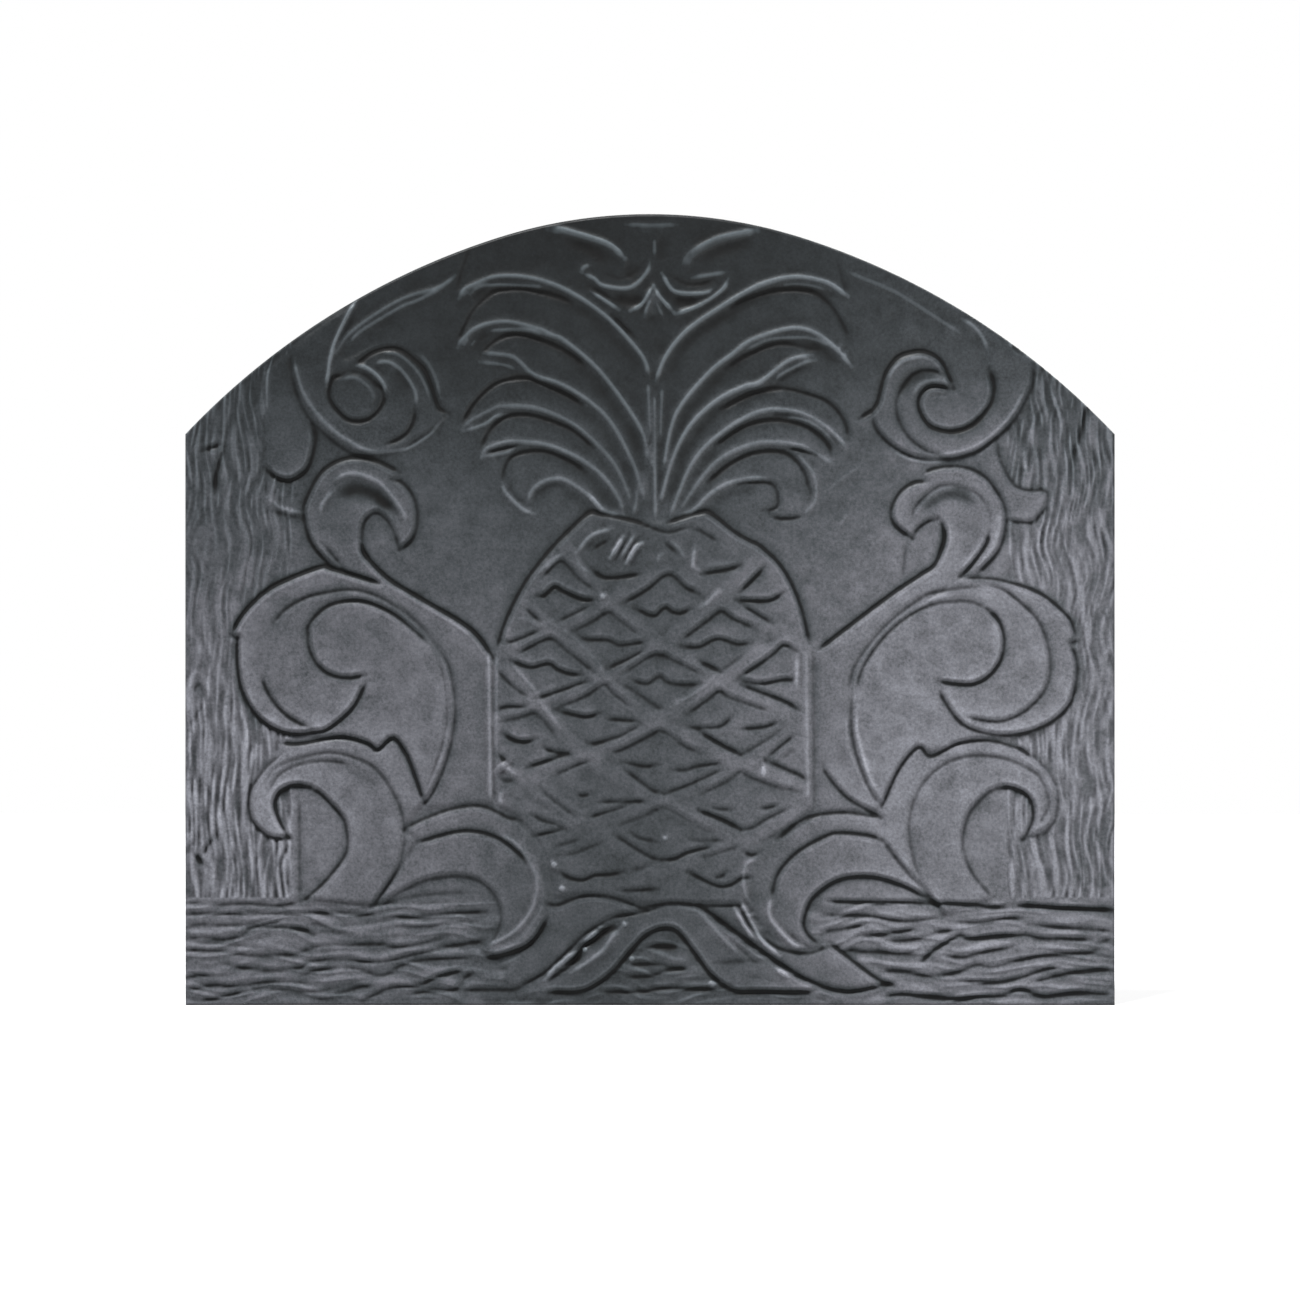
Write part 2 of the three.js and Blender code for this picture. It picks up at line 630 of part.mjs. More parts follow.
function firebackPlate() {
  const blank = solid(plateBlank());
  const rims = scrollRims.map((drawn) => {
    const line = curvePoints(drawn);
    return ridge(line, RIM_WIDTH, RIM_HEIGHT, RIM_CREST_SHIFT, 0.5);
  });
  const leaf = (drawn, shift) =>
    ridge(curvePoints(drawn), LEAF_WIDTH, LEAF_HEIGHT, shift);
  const leaves = [
    ...leftLeaves.map((drawn) => leaf(drawn, -LEAF_CREST_SHIFT)),
    ...rightLeaves.map((drawn) => leaf(drawn, LEAF_CREST_SHIFT)),
  ];
  const small = [...leafCurls, ...crownRibs, ...topCurls].map((drawn) =>
    ridge(curvePoints(drawn), VEIN_WIDTH, VEIN_HEIGHT),
  );
  const fruit = solid(form(PINEAPPLE_HEIGHT, ...pineappleOutline));
  const fruitSpace = solid(form(RELIEF_HEIGHT, ...pineappleOutline));
  const fruitStraps = join(straps()).intersect(fruitSpace);
  const relief = join([
    ...scrollForms,
    ...rims,
    ...leaves,
    ...small,
    ...sideGrain(),
    ...groundGrain(),
  ]);
  // Nothing of the relief reaches past the plate's outline.
  const outlineSpace = solid(
    ontoFace(
      new THREE.ExtrudeGeometry(plateShape(), {
        depth: RELIEF_HEIGHT + FORM_BITE,
        bevelEnabled: true,
        bevelThickness: 0.01,
        bevelSize: PLATE_EDGE_BEVEL,
        bevelOffset: -2 * PLATE_EDGE_BEVEL,
        bevelSegments: 1,
        steps: 1,
      }).translate(0, 0, -FORM_BITE),
    ),
  );
  const casting = relief
    .intersect(outlineSpace)
    .add(fruit)
    .add(fruitStraps)
    .add(blank)
    .add(join(boltXs().map(boss)))
    .subtract(join(boltXs().map(tappedHole)));
  return geometryOf(casting);
}

// ---------------------------------------------------------------- legs

// A bar of a leg seen flat: square at its root and round-cornered at its far end.
function barShape(width, length, radius) {
  const half = width / 2;
  const shape = new THREE.Shape();
  shape.moveTo(-half, 0);
  shape.lineTo(half, 0);
  shape.lineTo(half, length - radius);
  shape.absarc(half - radius, length - radius, radius, 0, Math.PI / 2);
  shape.absarc(radius - half, length - radius, radius, Math.PI / 2, Math.PI);
  shape.lineTo(-half, 0);
  return shape;
}

function leg() {
  const flat = { depth: LEG_METAL, bevelEnabled: false, curveSegments: 5 };
  const flange = new THREE.ExtrudeGeometry(
    barShape(LEG_WIDTH, LEG_FLANGE_HEIGHT, LEG_CORNER_RADIUS),
    flat,
  )
    .rotateX(Math.PI / 2)
    .translate(0, LEG_METAL, 0);
  const foot = new THREE.ExtrudeGeometry(
    barShape(LEG_WIDTH, LEG_REACH, LEG_CORNER_RADIUS),
    flat,
  );
  // The web between them, seen from the side, with a hollow curved edge.
  const web = new THREE.Shape();
  const webTop = LEG_FLANGE_HEIGHT - LEG_CORNER_RADIUS;
  const webEnd = LEG_REACH - LEG_CORNER_RADIUS;
  const inside = LEG_METAL / 2;
  web.moveTo(inside, inside);
  web.lineTo(webEnd, inside);
  web.lineTo(webEnd, LEG_METAL);
  web.quadraticCurveTo(LEG_METAL * 3, LEG_METAL * 3.4, LEG_METAL, webTop);
  web.lineTo(inside, webTop);
  web.closePath();
  const gusset = new THREE.ExtrudeGeometry(web, {
    depth: LEG_WEB_THICKNESS,
    bevelEnabled: false,
    curveSegments: 10,
  })
    .rotateX(Math.PI / 2)
    .rotateZ(Math.PI / 2)
    .translate(-LEG_WEB_THICKNESS / 2, 0, 0);
  const sound = join([flange, foot, gusset]);
  const holes = Object.values(boltSides).map((out) => {
    const hole = new THREE.CylinderGeometry(
      BOLT_RADIUS + BOLT_HOLE_GAP,
      BOLT_RADIUS + BOLT_HOLE_GAP,
      LEG_METAL * 4,
      HOLE_SIDES,
    );
    return hole.translate((out * BOLT_SPACING) / 2, 0, BOLT_HEIGHT);
  });
  return geometryOf(sound.subtract(join(holes)));
}

// ---------------------------------------------------------------- fasteners

// Each is turned about Y, with its bearing face at y = 0 and the thread towards -Y.

function boltGeometry() {
  const headRadius = BOLT_HEAD_ACROSS_FLATS / Math.sqrt(3);
  const head = new THREE.CylinderGeometry(
    headRadius,
    headRadius,
    BOLT_HEAD_THICKNESS,
    6,
  ).translate(0, BOLT_HEAD_THICKNESS / 2, 0);
  const shank = new THREE.LatheGeometry(
    [
      new THREE.Vector2(0, -BOLT_LENGTH),
      new THREE.Vector2(BOLT_RADIUS - BOLT_TIP_CHAMFER, -BOLT_LENGTH),
      new THREE.Vector2(BOLT_RADIUS, BOLT_TIP_CHAMFER - BOLT_LENGTH),
      new THREE.Vector2(BOLT_RADIUS, BOLT_HEAD_THICKNESS / 2),
      new THREE.Vector2(0, BOLT_HEAD_THICKNESS / 2),
    ],
    HOLE_SIDES,
  );
  return geometryOf(join([head, shank]));
}

function ring(inner, outer, thickness) {
  return new THREE.LatheGeometry(
    [
      new THREE.Vector2(inner, 0),
      new THREE.Vector2(outer, 0),
      new THREE.Vector2(outer, thickness),
      new THREE.Vector2(inner, thickness),
      new THREE.Vector2(inner, 0),
    ],
    HOLE_SIDES,
  );
}

function washerGeometry() {
  const bore = BOLT_RADIUS + WASHER_BORE_GAP;
  return geometryOf(solid(ring(bore, WASHER_RADIUS, WASHER_THICKNESS)));
}

// A split ring, sprung open at its slot.
function lockWasherGeometry() {
  const bore = BOLT_RADIUS + WASHER_BORE_GAP;
  const slot = new THREE.BoxGeometry(
    LOCK_WASHER_RADIUS * 2,
    LOCK_WASHER_THICKNESS * 2,
    LOCK_WASHER_SLOT,
  ).translate(LOCK_WASHER_RADIUS, LOCK_WASHER_THICKNESS / 2, 0);
  return geometryOf(
    solid(ring(bore, LOCK_WASHER_RADIUS, LOCK_WASHER_THICKNESS)).subtract(
      solid(slot),
    ),
  );
}

// ---------------------------------------------------------------- assembly

const fireback = new THREE.Group();
fireback.add(named("fireback_plate", firebackPlate(), castIron));

for (const [sideName, side] of Object.entries(legSides)) {
  const legMesh = named(`${sideName}_leg`, leg(), legIron);
  legMesh.position.set(legX(side), flangeY, 0);
  fireback.add(legMesh);
  for (const [boltName, out] of Object.entries(boltSides)) {
    const place = `${sideName}_${boltName}`;
    const x = legX(side) + (side * out * BOLT_SPACING) / 2;
    const washer = named(`${place}_washer`, washerGeometry(), fastenerSteel);
    washer.position.set(x, washerY, BOLT_HEIGHT);
    const lock = named(`${place}_lock_washer`, lockWasherGeometry(), fastenerSteel);
    lock.position.set(x, lockWasherY, BOLT_HEIGHT);
    const bolt = named(`${place}_bolt`, boltGeometry(), fastenerSteel);
    bolt.position.set(x, headY, BOLT_HEIGHT);
    fireback.add(washer, lock, bolt);
  }
}

export default fireback;
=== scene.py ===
"""Cast-iron fireback, dressed for its picture: the plate's relief is worked as one cast
surface, and the legs and fasteners get rounded edges and their finishes.
Metres, +Z up, the decorated front faces -Y. Drawn sizes are in millimetres."""

import math

import bmesh
import bpy
import numpy as np
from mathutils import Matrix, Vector


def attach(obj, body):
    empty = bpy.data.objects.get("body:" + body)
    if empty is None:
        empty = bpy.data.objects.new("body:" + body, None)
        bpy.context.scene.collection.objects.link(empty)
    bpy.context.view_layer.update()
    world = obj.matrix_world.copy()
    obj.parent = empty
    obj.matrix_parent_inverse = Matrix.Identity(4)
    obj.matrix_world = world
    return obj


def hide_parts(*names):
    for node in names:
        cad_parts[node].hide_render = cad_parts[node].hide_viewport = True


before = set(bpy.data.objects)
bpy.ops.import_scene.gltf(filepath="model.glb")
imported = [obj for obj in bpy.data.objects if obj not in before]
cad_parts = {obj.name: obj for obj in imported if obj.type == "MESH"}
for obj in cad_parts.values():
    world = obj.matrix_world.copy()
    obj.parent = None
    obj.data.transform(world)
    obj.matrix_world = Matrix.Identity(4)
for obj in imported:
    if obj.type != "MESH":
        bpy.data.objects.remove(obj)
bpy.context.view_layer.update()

MM = 0.001

# ---------------------------------------------------------------- sizes, in millimetres

PLATE_WIDTH = 508
PLATE_HEIGHT = 432.5
PLATE_THICKNESS = 14
RELIEF_HEIGHT = 5
CROWN_RADIUS = 274
CROWN_HALF_ANGLE = 17.6  # degrees
FLANK_RADIUS = 402.5
FACE_Y = -62.15  # the plate's face, under the relief
BACK_Y = FACE_Y + PLATE_THICKNESS
GROUND_TOP = 57.5  # the top of the band under the relief
BOLT_XS = (-165, -135, 135, 165)
BOLT_HEIGHT = 68

FRONT_COLUMNS, FRONT_ROWS = 860, 720  # points of the front's mesh
FRONT_DROP = 1.9  # how far back the front's edge is dressed, and the deepest cut
FRONT_DROP_WIDTH = 1.2
RELIEF_FADE = 3.2  # the relief runs out over this width along the edge
RELIEF_CLEARANCE = 0.05  # the highest crests stay this far under the relief's height
WALL_START = 4  # the side wall runs straight from this far behind the face
BACK_ROUNDING = 1.6
BACK_ROUNDING_MIDDLE = 0.5  # how far that rounding's middle stands in from the corner

BOSS_HEIGHT = 3
BOSS_RADIUS = 13
# The boss's section as (out from its radius, out from the plate's back): its flared foot,
# and its rounded rim from the boss's own height.
BOSS_FOOT = ((2.6, -1.0), (2.4, 0.02), (1.2, 0.25), (0.3, 0.9))
BOSS_RIM = ((-0.2, -0.8), (-0.6, -0.2), (-1.3, 0.0))

LEG_ROUNDING = 1.6
FASTENER_ROUNDING = {"washer": 0.25, "lock_washer": 0.2, "bolt": 0.45}

# ---------------------------------------------------------------- drawing of the relief
#
# Each line is one cut or ridge: its kind, its strength, the side that stands higher
# (L left, R right, = neither) and the points that it runs through (x and height, in
# millimetres). A line indented by four spaces goes on from the line before.
# g groove, r ridge, e edge of a raised form, l crest of a leaf, s hollow, m swelling,
# b flat strap, c rounded band of a curl.

# The scroll and strand in the upper left corner.
UPPER_LEFT_SCROLL = """
e 0.63 L -196.5,356.5 -196,344 -188.5,323.5 -175,309.5 -160,300.5 -141,302 -133.5,304.5
    -118.5,314 -111.5,319.5
g 1.88 = -160.5,350 -150.5,357 -138,358.5 -126.5,350.5 -121.5,343.5 -116.5,329 -114.5,325.5
    -110,323.5
r 1.55 = -160,350 -154.5,348 -149.5,344.5 -145.5,339 -144.5,333
r 1 = -151,350.5 -143.5,351.5 -137,348 -131.5,341.5 -128,334.5 -127.5,327.5
g 1.6 = -128.5,326 -129,319.5 -132,313.5 -137,309.5 -144,306.5
g 1.83 = -167.5,344.5 -173.5,342 -175,331.5 -167.5,321.5 -161,319 -154.5,320 -149,324 -145.5,330
    -146,336 -149.5,340.5
g 0.68 = -167,346 -161,346 -155.5,344 -151,340 -149,334.5 -149.5,329 -153,324
r 1.86 = -161,385 -173,359.5 -176.5,338
r 0.93 = -173.5,353.5 -163,368 -137,385 -115,392.5 -106.5,398.5
r 0.92 = -164.5,361.5 -157.5,368.5 -137,381 -126,385.5 -113.5,391.5
g 0.92 = -98.5,414 -103.5,399 -105,391.5
s 0.5 = -142.5,347.5 -137,344.5 -132.5,339 -130.5,332.5
r 0.8 = -194.5,352 -188.5,333.5 -175,316 -155.5,303.5 -144,302.5 -132.5,304.5 -121.5,311
    -113,320
r 0.5 = -169.5,342 -161.5,343 -155,339 -151,334 -152,328
r 0.5 = -148,356.5 -139,356 -132.5,352 -127,346 -122.5,338.5 -120,331.5
r 0.5 = -126,356.5 -120.5,350 -116.5,341.5 -115,332.5
"""

# The scrolls down the left side.
LEFT_SCROLLS = """
e 1.45 L -210,293.5 -207,290 -201.5,287 -195.5,287 -189.5,290.5 -185.5,296 -182.5,309.5
    -184.5,317
r 0.79 = -208,278 -203.5,273 -197,270 -190,269.5
g 0.44 = -208,270 -190,266
g 0.8 = -209.5,292 -210,285.5 -209,277
r 0.8 = -209,350.5 -209.5,323.5
e 1.32 L -136.5,291.5 -151,298 -166,299 -179.5,291.5 -188,276.5 -189.5,268.5 -187.5,258.5
    -184,250.5 -174,239
g 0.2 = -186.5,268.5 -185,260.5 -181,252 -171.5,240
e 1.09 R -141,287.5 -136.5,286.5 -132,282.5 -128.5,276.5 -127,270 -127,263 -128.5,257 -132,252
    -137,248.5
e 1 R -137,248.5 -140,259 -143.5,264.5 -150,269 -156,263.5 -157,251 -154.5,245
e 1.77 R -157,251 -154.5,245 -142.5,233 -125.5,222.5 -104,210 -94,202 -85.5,190
l 0.89 L -172,287.5 -166.5,290 -160,290.5 -152.5,288 -145.5,283.5 -135,270 -133.5,263.5
s 1 = -173,274 -167.5,279.5 -160,281 -152,280 -145.5,276 -140,270.5 -137,265
s 0.6 = -163,275 -155.5,276 -148,274 -142,268.5
r 0.8 = -180,268 -179,273.5 -175.5,278.5 -172,281.5
g 1.2 = -178.5,252 -168,239.5
e 1.94 L -148,231 -173,238.5 -180.5,239.5 -200,232 -210.5,226 -219.5,217.5 -225.5,209.5
    -228.5,203
e 1.47 L -225.5,201.5 -226,192.5 -223.5,173 -214,157 -199,148.5 -182.5,149 -174.5,151.5
    -162,162.5 -155,176
g 1.21 = -229,202.5 -227,201 -224,201
e 1.08 R -155,180.5 -161.5,179 -169,179 -176.5,181.5 -182.5,187 -186,194 -187,202 -185.5,209.5
    -174.5,219 -158,221 -142,215 -127,203.5 -121.5,197.5
e 0.79 R -206,209 -199.5,216 -191,221.5 -180.5,225 -160,227 -142,220 -125.5,207 -113.5,191.5
    -109,181.5 -106.5,160.5 -109.5,139 -117,119 -124.5,107.5
g 1.4 = -212,179.5 -209.5,172.5 -204.5,164.5 -198,158 -191.5,154 -185,151
g 1.85 = -202,143.5 -191.5,143 -169.5,146.5 -154.5,143 -149,139.5 -142,145.5 -138.5,145
    -134.5,139 -131,132 -123.5,111
e 0.97 L -201,138 -211.5,128 -219,115.5 -217.5,101 -208,92 -196.5,91
e 1.6 L -196.5,91 -200,96 -203.5,103.5 -204.5,110.5 -202.5,116 -198,119 -192.5,120 -186,119
e 0.98 L -186,119 -179.5,115 -168.5,103 -166,95.5 -165.5,87.5 -168,80 -178.5,67 -190.5,56.5
g 0.91 = -210,120.5 -207,127 -200,132 -180.5,137.5 -169.5,137.5 -161,135 -153,131.5 -146,125
    -137.5,110.5 -134,94.5 -137,77 -147,60.5 -152.5,54.5
g 0.89 = -208,117 -203.5,125 -196,130 -185,133 -174,133.5 -164.5,132
s 0.3 = -180.5,132 -169.5,131 -160,127 -151.5,120.5 -145.5,113
e 0.65 R -191.5,114 -191,58
e 0.87 R -134.5,96 -127,100.5 -108.5,107.5 -92,109 -78,103 -71,101
g 0.44 = -127,91 -134.5,77.5 -151.5,54
e 1.12 R -127,89.5 -102.5,95.5 -85,92.5 -72.5,84 -67.5,78.5
r 0.43 = -70,88.5 -65.5,83 -61.5,75 -58.5,59.5 -60.5,51 -68.5,38.5 -80.5,31 -90,30
e 1.5 R -56,47.5 -60,40 -65,34 -71,30.5 -84.5,26.5 -91,27.5
e 0.55 L -145,56 -137,61.5 -120,69 -99.5,70 -87,62.5 -81.5,49.5 -85,37.5 -92.5,30.5
g 0.67 = -167,221 -155.5,220.5 -134.5,211 -117.5,193.5 -111,170.5 -111.5,149 -118.5,127
    -122.5,118.5
r 0.32 = -139,216 -130.5,209.5 -115,192 -108.5,170.5 -109.5,149.5 -115.5,128.5
r 0.28 = -140,229 -114,213.5 -96.5,201.5
r 0.7 = -207,108.5 -201.5,96 -196.5,94.5
r 0.45 = -142,267 -138,254
"""

# The scroll and strand in the upper right corner.
UPPER_RIGHT_SCROLL = """
e 1.49 R 114.5,321 123,327.5 127,341 130,348 135.5,354.5 142.5,357 149,357.5 155.5,355 160.5,350
    166.5,337
e 1.5 L 165,337 158.5,338.5 152,338 147.5,333.5 146.5,327.5 149,321 153.5,316 161.5,313.5
    169,314 176,317 182,322.5 186.5,329 188,335.5 187.5,342 185.5,347.5
r 0.55 = 164.5,339.5 158.5,341 152,341 146.5,338 143.5,332.5
g 1.04 = 163,342 158,345.5 152.5,347 146,346 140.5,341.5 134.5,329 138,315 149,304 162.5,299
e 0.9 L 121,323 122.5,316.5 127,310 133.5,304.5 141.5,300 151,298 161,298 172,300 182.5,305
    199,319.5 209,338.5 210,349.5
r 0.53 = 156.5,300 167.5,302 178.5,305.5 187.5,312 194.5,319.5 200,327.5 203.5,335.5
e 0.74 R 190,309.5 191,300 197.5,286.5 202.5,282.5 209.5,281.5 215.5,281.5 217.5,278.5
    216.5,272.5 212.5,267 207.5,263.5 194.5,264.5
r 1 = 204,306 204,297.5 206,291
g 0.55 = 101.5,408.5 106,394 107.5,387.5
r 0.47 = 108,401 115.5,397.5 136,388.5 169,367.5
r 0.9 = 170.5,375 176.5,371 181.5,365 184.5,357.5
s 0.7 = 135,331.5 138.5,338 144,342 151.5,344 159,342
s 0.5 = 157,315.5 167,314 176.5,317 184.5,325
r 0.6 = 132.5,303.5 140.5,299 150.5,297 160.5,297
r 0.5 = 128.5,341 132.5,347 138,351.5 144,353.5 150.5,353.5
g 0.5 = 152,331 155.5,333.5 165,333.5
"""

# The scrolls down the right side.
RIGHT_SCROLLS = """
e 0.91 R 69.5,92 82,101 90,104 107,105.5 125.5,103
e 1.05 L 126.5,90.5 119.5,93 103.5,94.5 95.5,92.5 80.5,84 70,72.5 66,59
r 1.15 = 66,59 65,51.5 67.5,45 77.5,34 84,32
e 1.24 R 153.5,57 138.5,65 121,70 103.5,68.5 89.5,59 84.5,47.5 85,41.5 88,37 93.5,33
e 0.72 L 126.5,90.5 138,75.5 160.5,50
g 0.46 = 75.5,40.5 80,36 86,32 93.5,31.5 99.5,33
g 1.34 = 126,107 136,129 146.5,141 153.5,136 168.5,143 186,144.5 202.5,140 206,137
e 0.6 R 203,140 215.5,130.5 222.5,118 222,103.5 218.5,97.5 212.5,93.5 203.5,90.5
e 1.31 R 203.5,90.5 206.5,95.5 209,102 208.5,109 206,114 202,117 196,119 190,118.5
e 0.69 R 190,118.5 184,115.5 174.5,104.5 171,90 172.5,81 175.5,73.5 180.5,66.5 187.5,59
g 0.81 = 159.5,50.5 147,70 141.5,94.5 145,114 156,128.5 172.5,136 193,135 209,128 214.5,122
    217,115 217.5,108.5 211.5,97.5
s 0.3 = 146,103.5 145.5,90 148.5,75.5 153.5,62.5
e 1.06 R 170,234 191,232.5 212.5,225.5 227,214 231.5,207 233,199
g 0.9 = 233.5,199 229.5,198.5
e 1.06 R 230,198 233,189.5 233.5,180 229.5,164.5 218,154 202,148 185.5,148 170.5,153.5 161,165.5
    157.5,173
e 1.29 L 157,176.5 172,175 180,176.5 186.5,181 191.5,188 193.5,196 193,204 190,211 184.5,216.5
e 0.59 L 184.5,216.5 177,220 169,221 152.5,218.5 136,209.5 121,193 111.5,172 110,149.5 116,126
    126.5,107
g 0.76 = 108.5,172 110.5,181.5 115.5,191 129.5,208 146,221 155,225.5 173.5,228.5 182,227.5
e 0.82 R 177,231.5 186.5,229.5 195,226 210,213 215.5,203 218.5,191.5 218.5,180.5 216,172.5
    210.5,165.5 203,159.5 194,155.5 185.5,155 173,157
e 1.5 R 92.5,195 128,222 147,235 154.5,240 158,246.5 160.5,255 159.5,262.5
e 0.94 L 94,131 97,125 108,113 126.5,102.5
e 1.15 L 152.5,286.5 145,286 138.5,282.5 134,277 131.5,270 132.5,264 137,259 143,255
g 1.27 = 143,255 146,260 151,264 157,266
e 0.6 L 157,266 159.5,262.5 161,256.5 159.5,250 157.5,245
e 1 R 148.5,290 153.5,293 161,294.5 169,294.5 177,292.5 184,288 189,281.5 193.5,273.5 195,264.5
    191,249 179,235.5
l 0.36 L 143,265 146,271 151.5,277 158.5,282 167,283.5 174.5,281 181,275.5 185,268 186,259
    183,251 172.5,238.5
s 0.8 = 147,266 151.5,273.5 158.5,278 166.5,279.5 174.5,276.5 181,271
g 0.38 = 113.5,172 114.5,180.5 119,189.5 132,205 147.5,217 156.5,221
r 0.5 = 111,163 113.5,182 123.5,199 139,213.5 156.5,222.5 165,224.5
r 0.83 = 113,160 113,149 119,126.5 123.5,116
r 0.49 = 107.5,160 107.5,149 109.5,137.5 119,115
g 0.9 = 143.5,264 145,272 154.5,281.5 162,284 170,282.5 178,279.5 182.5,274 185.5,267 185.5,259
g 2 = 185.5,259 183,251 173,237.5 169,234.5
g 0.8 = 140,253 138,233
r 0.3 = 96.5,280 102.5,286 116.5,296
r 0.25 = 101.5,260.5 105.5,265 109,271
r 0.5 = 182.5,258 180,250.5 170.5,239.5
r 0.5 = 188.5,271 190.5,263.5 188.5,255 185,247 180,241
"""

# The curls at the top of the arch.
TOP_CURLS = """
c 1.3 = -55,424.5 -45,422.5 -26.5,417 -20,413 -14.5,408
r 1.28 = -49.5,424.5 -23,416 -14,408
s 0.8 = -48.5,418 -33,412 -20.5,403.5
s 0.6 = -13,405.5 -11,401 -14,397
r 1.24 = -36.5,400 -30.5,397 -25,393 -11,392 -2,400 0,406
g 0.47 = -26.5,401 -20.5,398 -14,397.5 -8.5,400.5 -4,405.5
s 1.1 = -22,387.5 -15.5,385.5 -8,385 -2.5,389
r 1.33 = -32,390 -17,380
r 0.95 = -38,401 -35.5,403.5 -32.5,404
c 1.2 = 58,423 39,418.5 24.5,411.5 20.5,407 19,402.5
r 0.7 = 58,423.5 39,420 30.5,416.5 23.5,412
s 0.7 = 58.5,417.5 41,412.5 33,409 26,403.5
r 1.48 = 6.5,400 13.5,390 29,389 35.5,392
g 0.79 = 11.5,399 18.5,394.5 27,394 34.5,396.5
r 0.79 = 23,397.5 42.5,400.5
r 1.56 = 42.5,397 39.5,391 28,383 14,377.5
s 0.9 = 11.5,385.5 19.5,384.5 27,385.5
c 0.6 = -8,424.5 1,423.5 10.5,424.5
r 0.5 = -13.5,426.5 15,426.5
s 0.6 = 7,420 5,412 7.5,404.5
m 1.4 = 2,393.5 2,387 1,380.5 1,374
r 1.76 = 1.5,393.5 -1.5,387.5 -5,382.5 -10.5,379.5
r 1.82 = 2.5,393 5,387.5 12.5,379
r 1.4 = 1.5,387 -1.5,381.5 -3,376
r 0.94 = 2.5,386.5 7.5,375.5
g 0.32 = 2,383 1.5,373
g 0.37 = -0.5,386 -4.5,379
g 0.92 = -33,392.5 -20,385
g 1.54 = -21,377 -9,365
s 0.35 = 6.5,368.5 7.5,360.5 5,352
r 0.77 = 2.5,420 2.5,409
"""

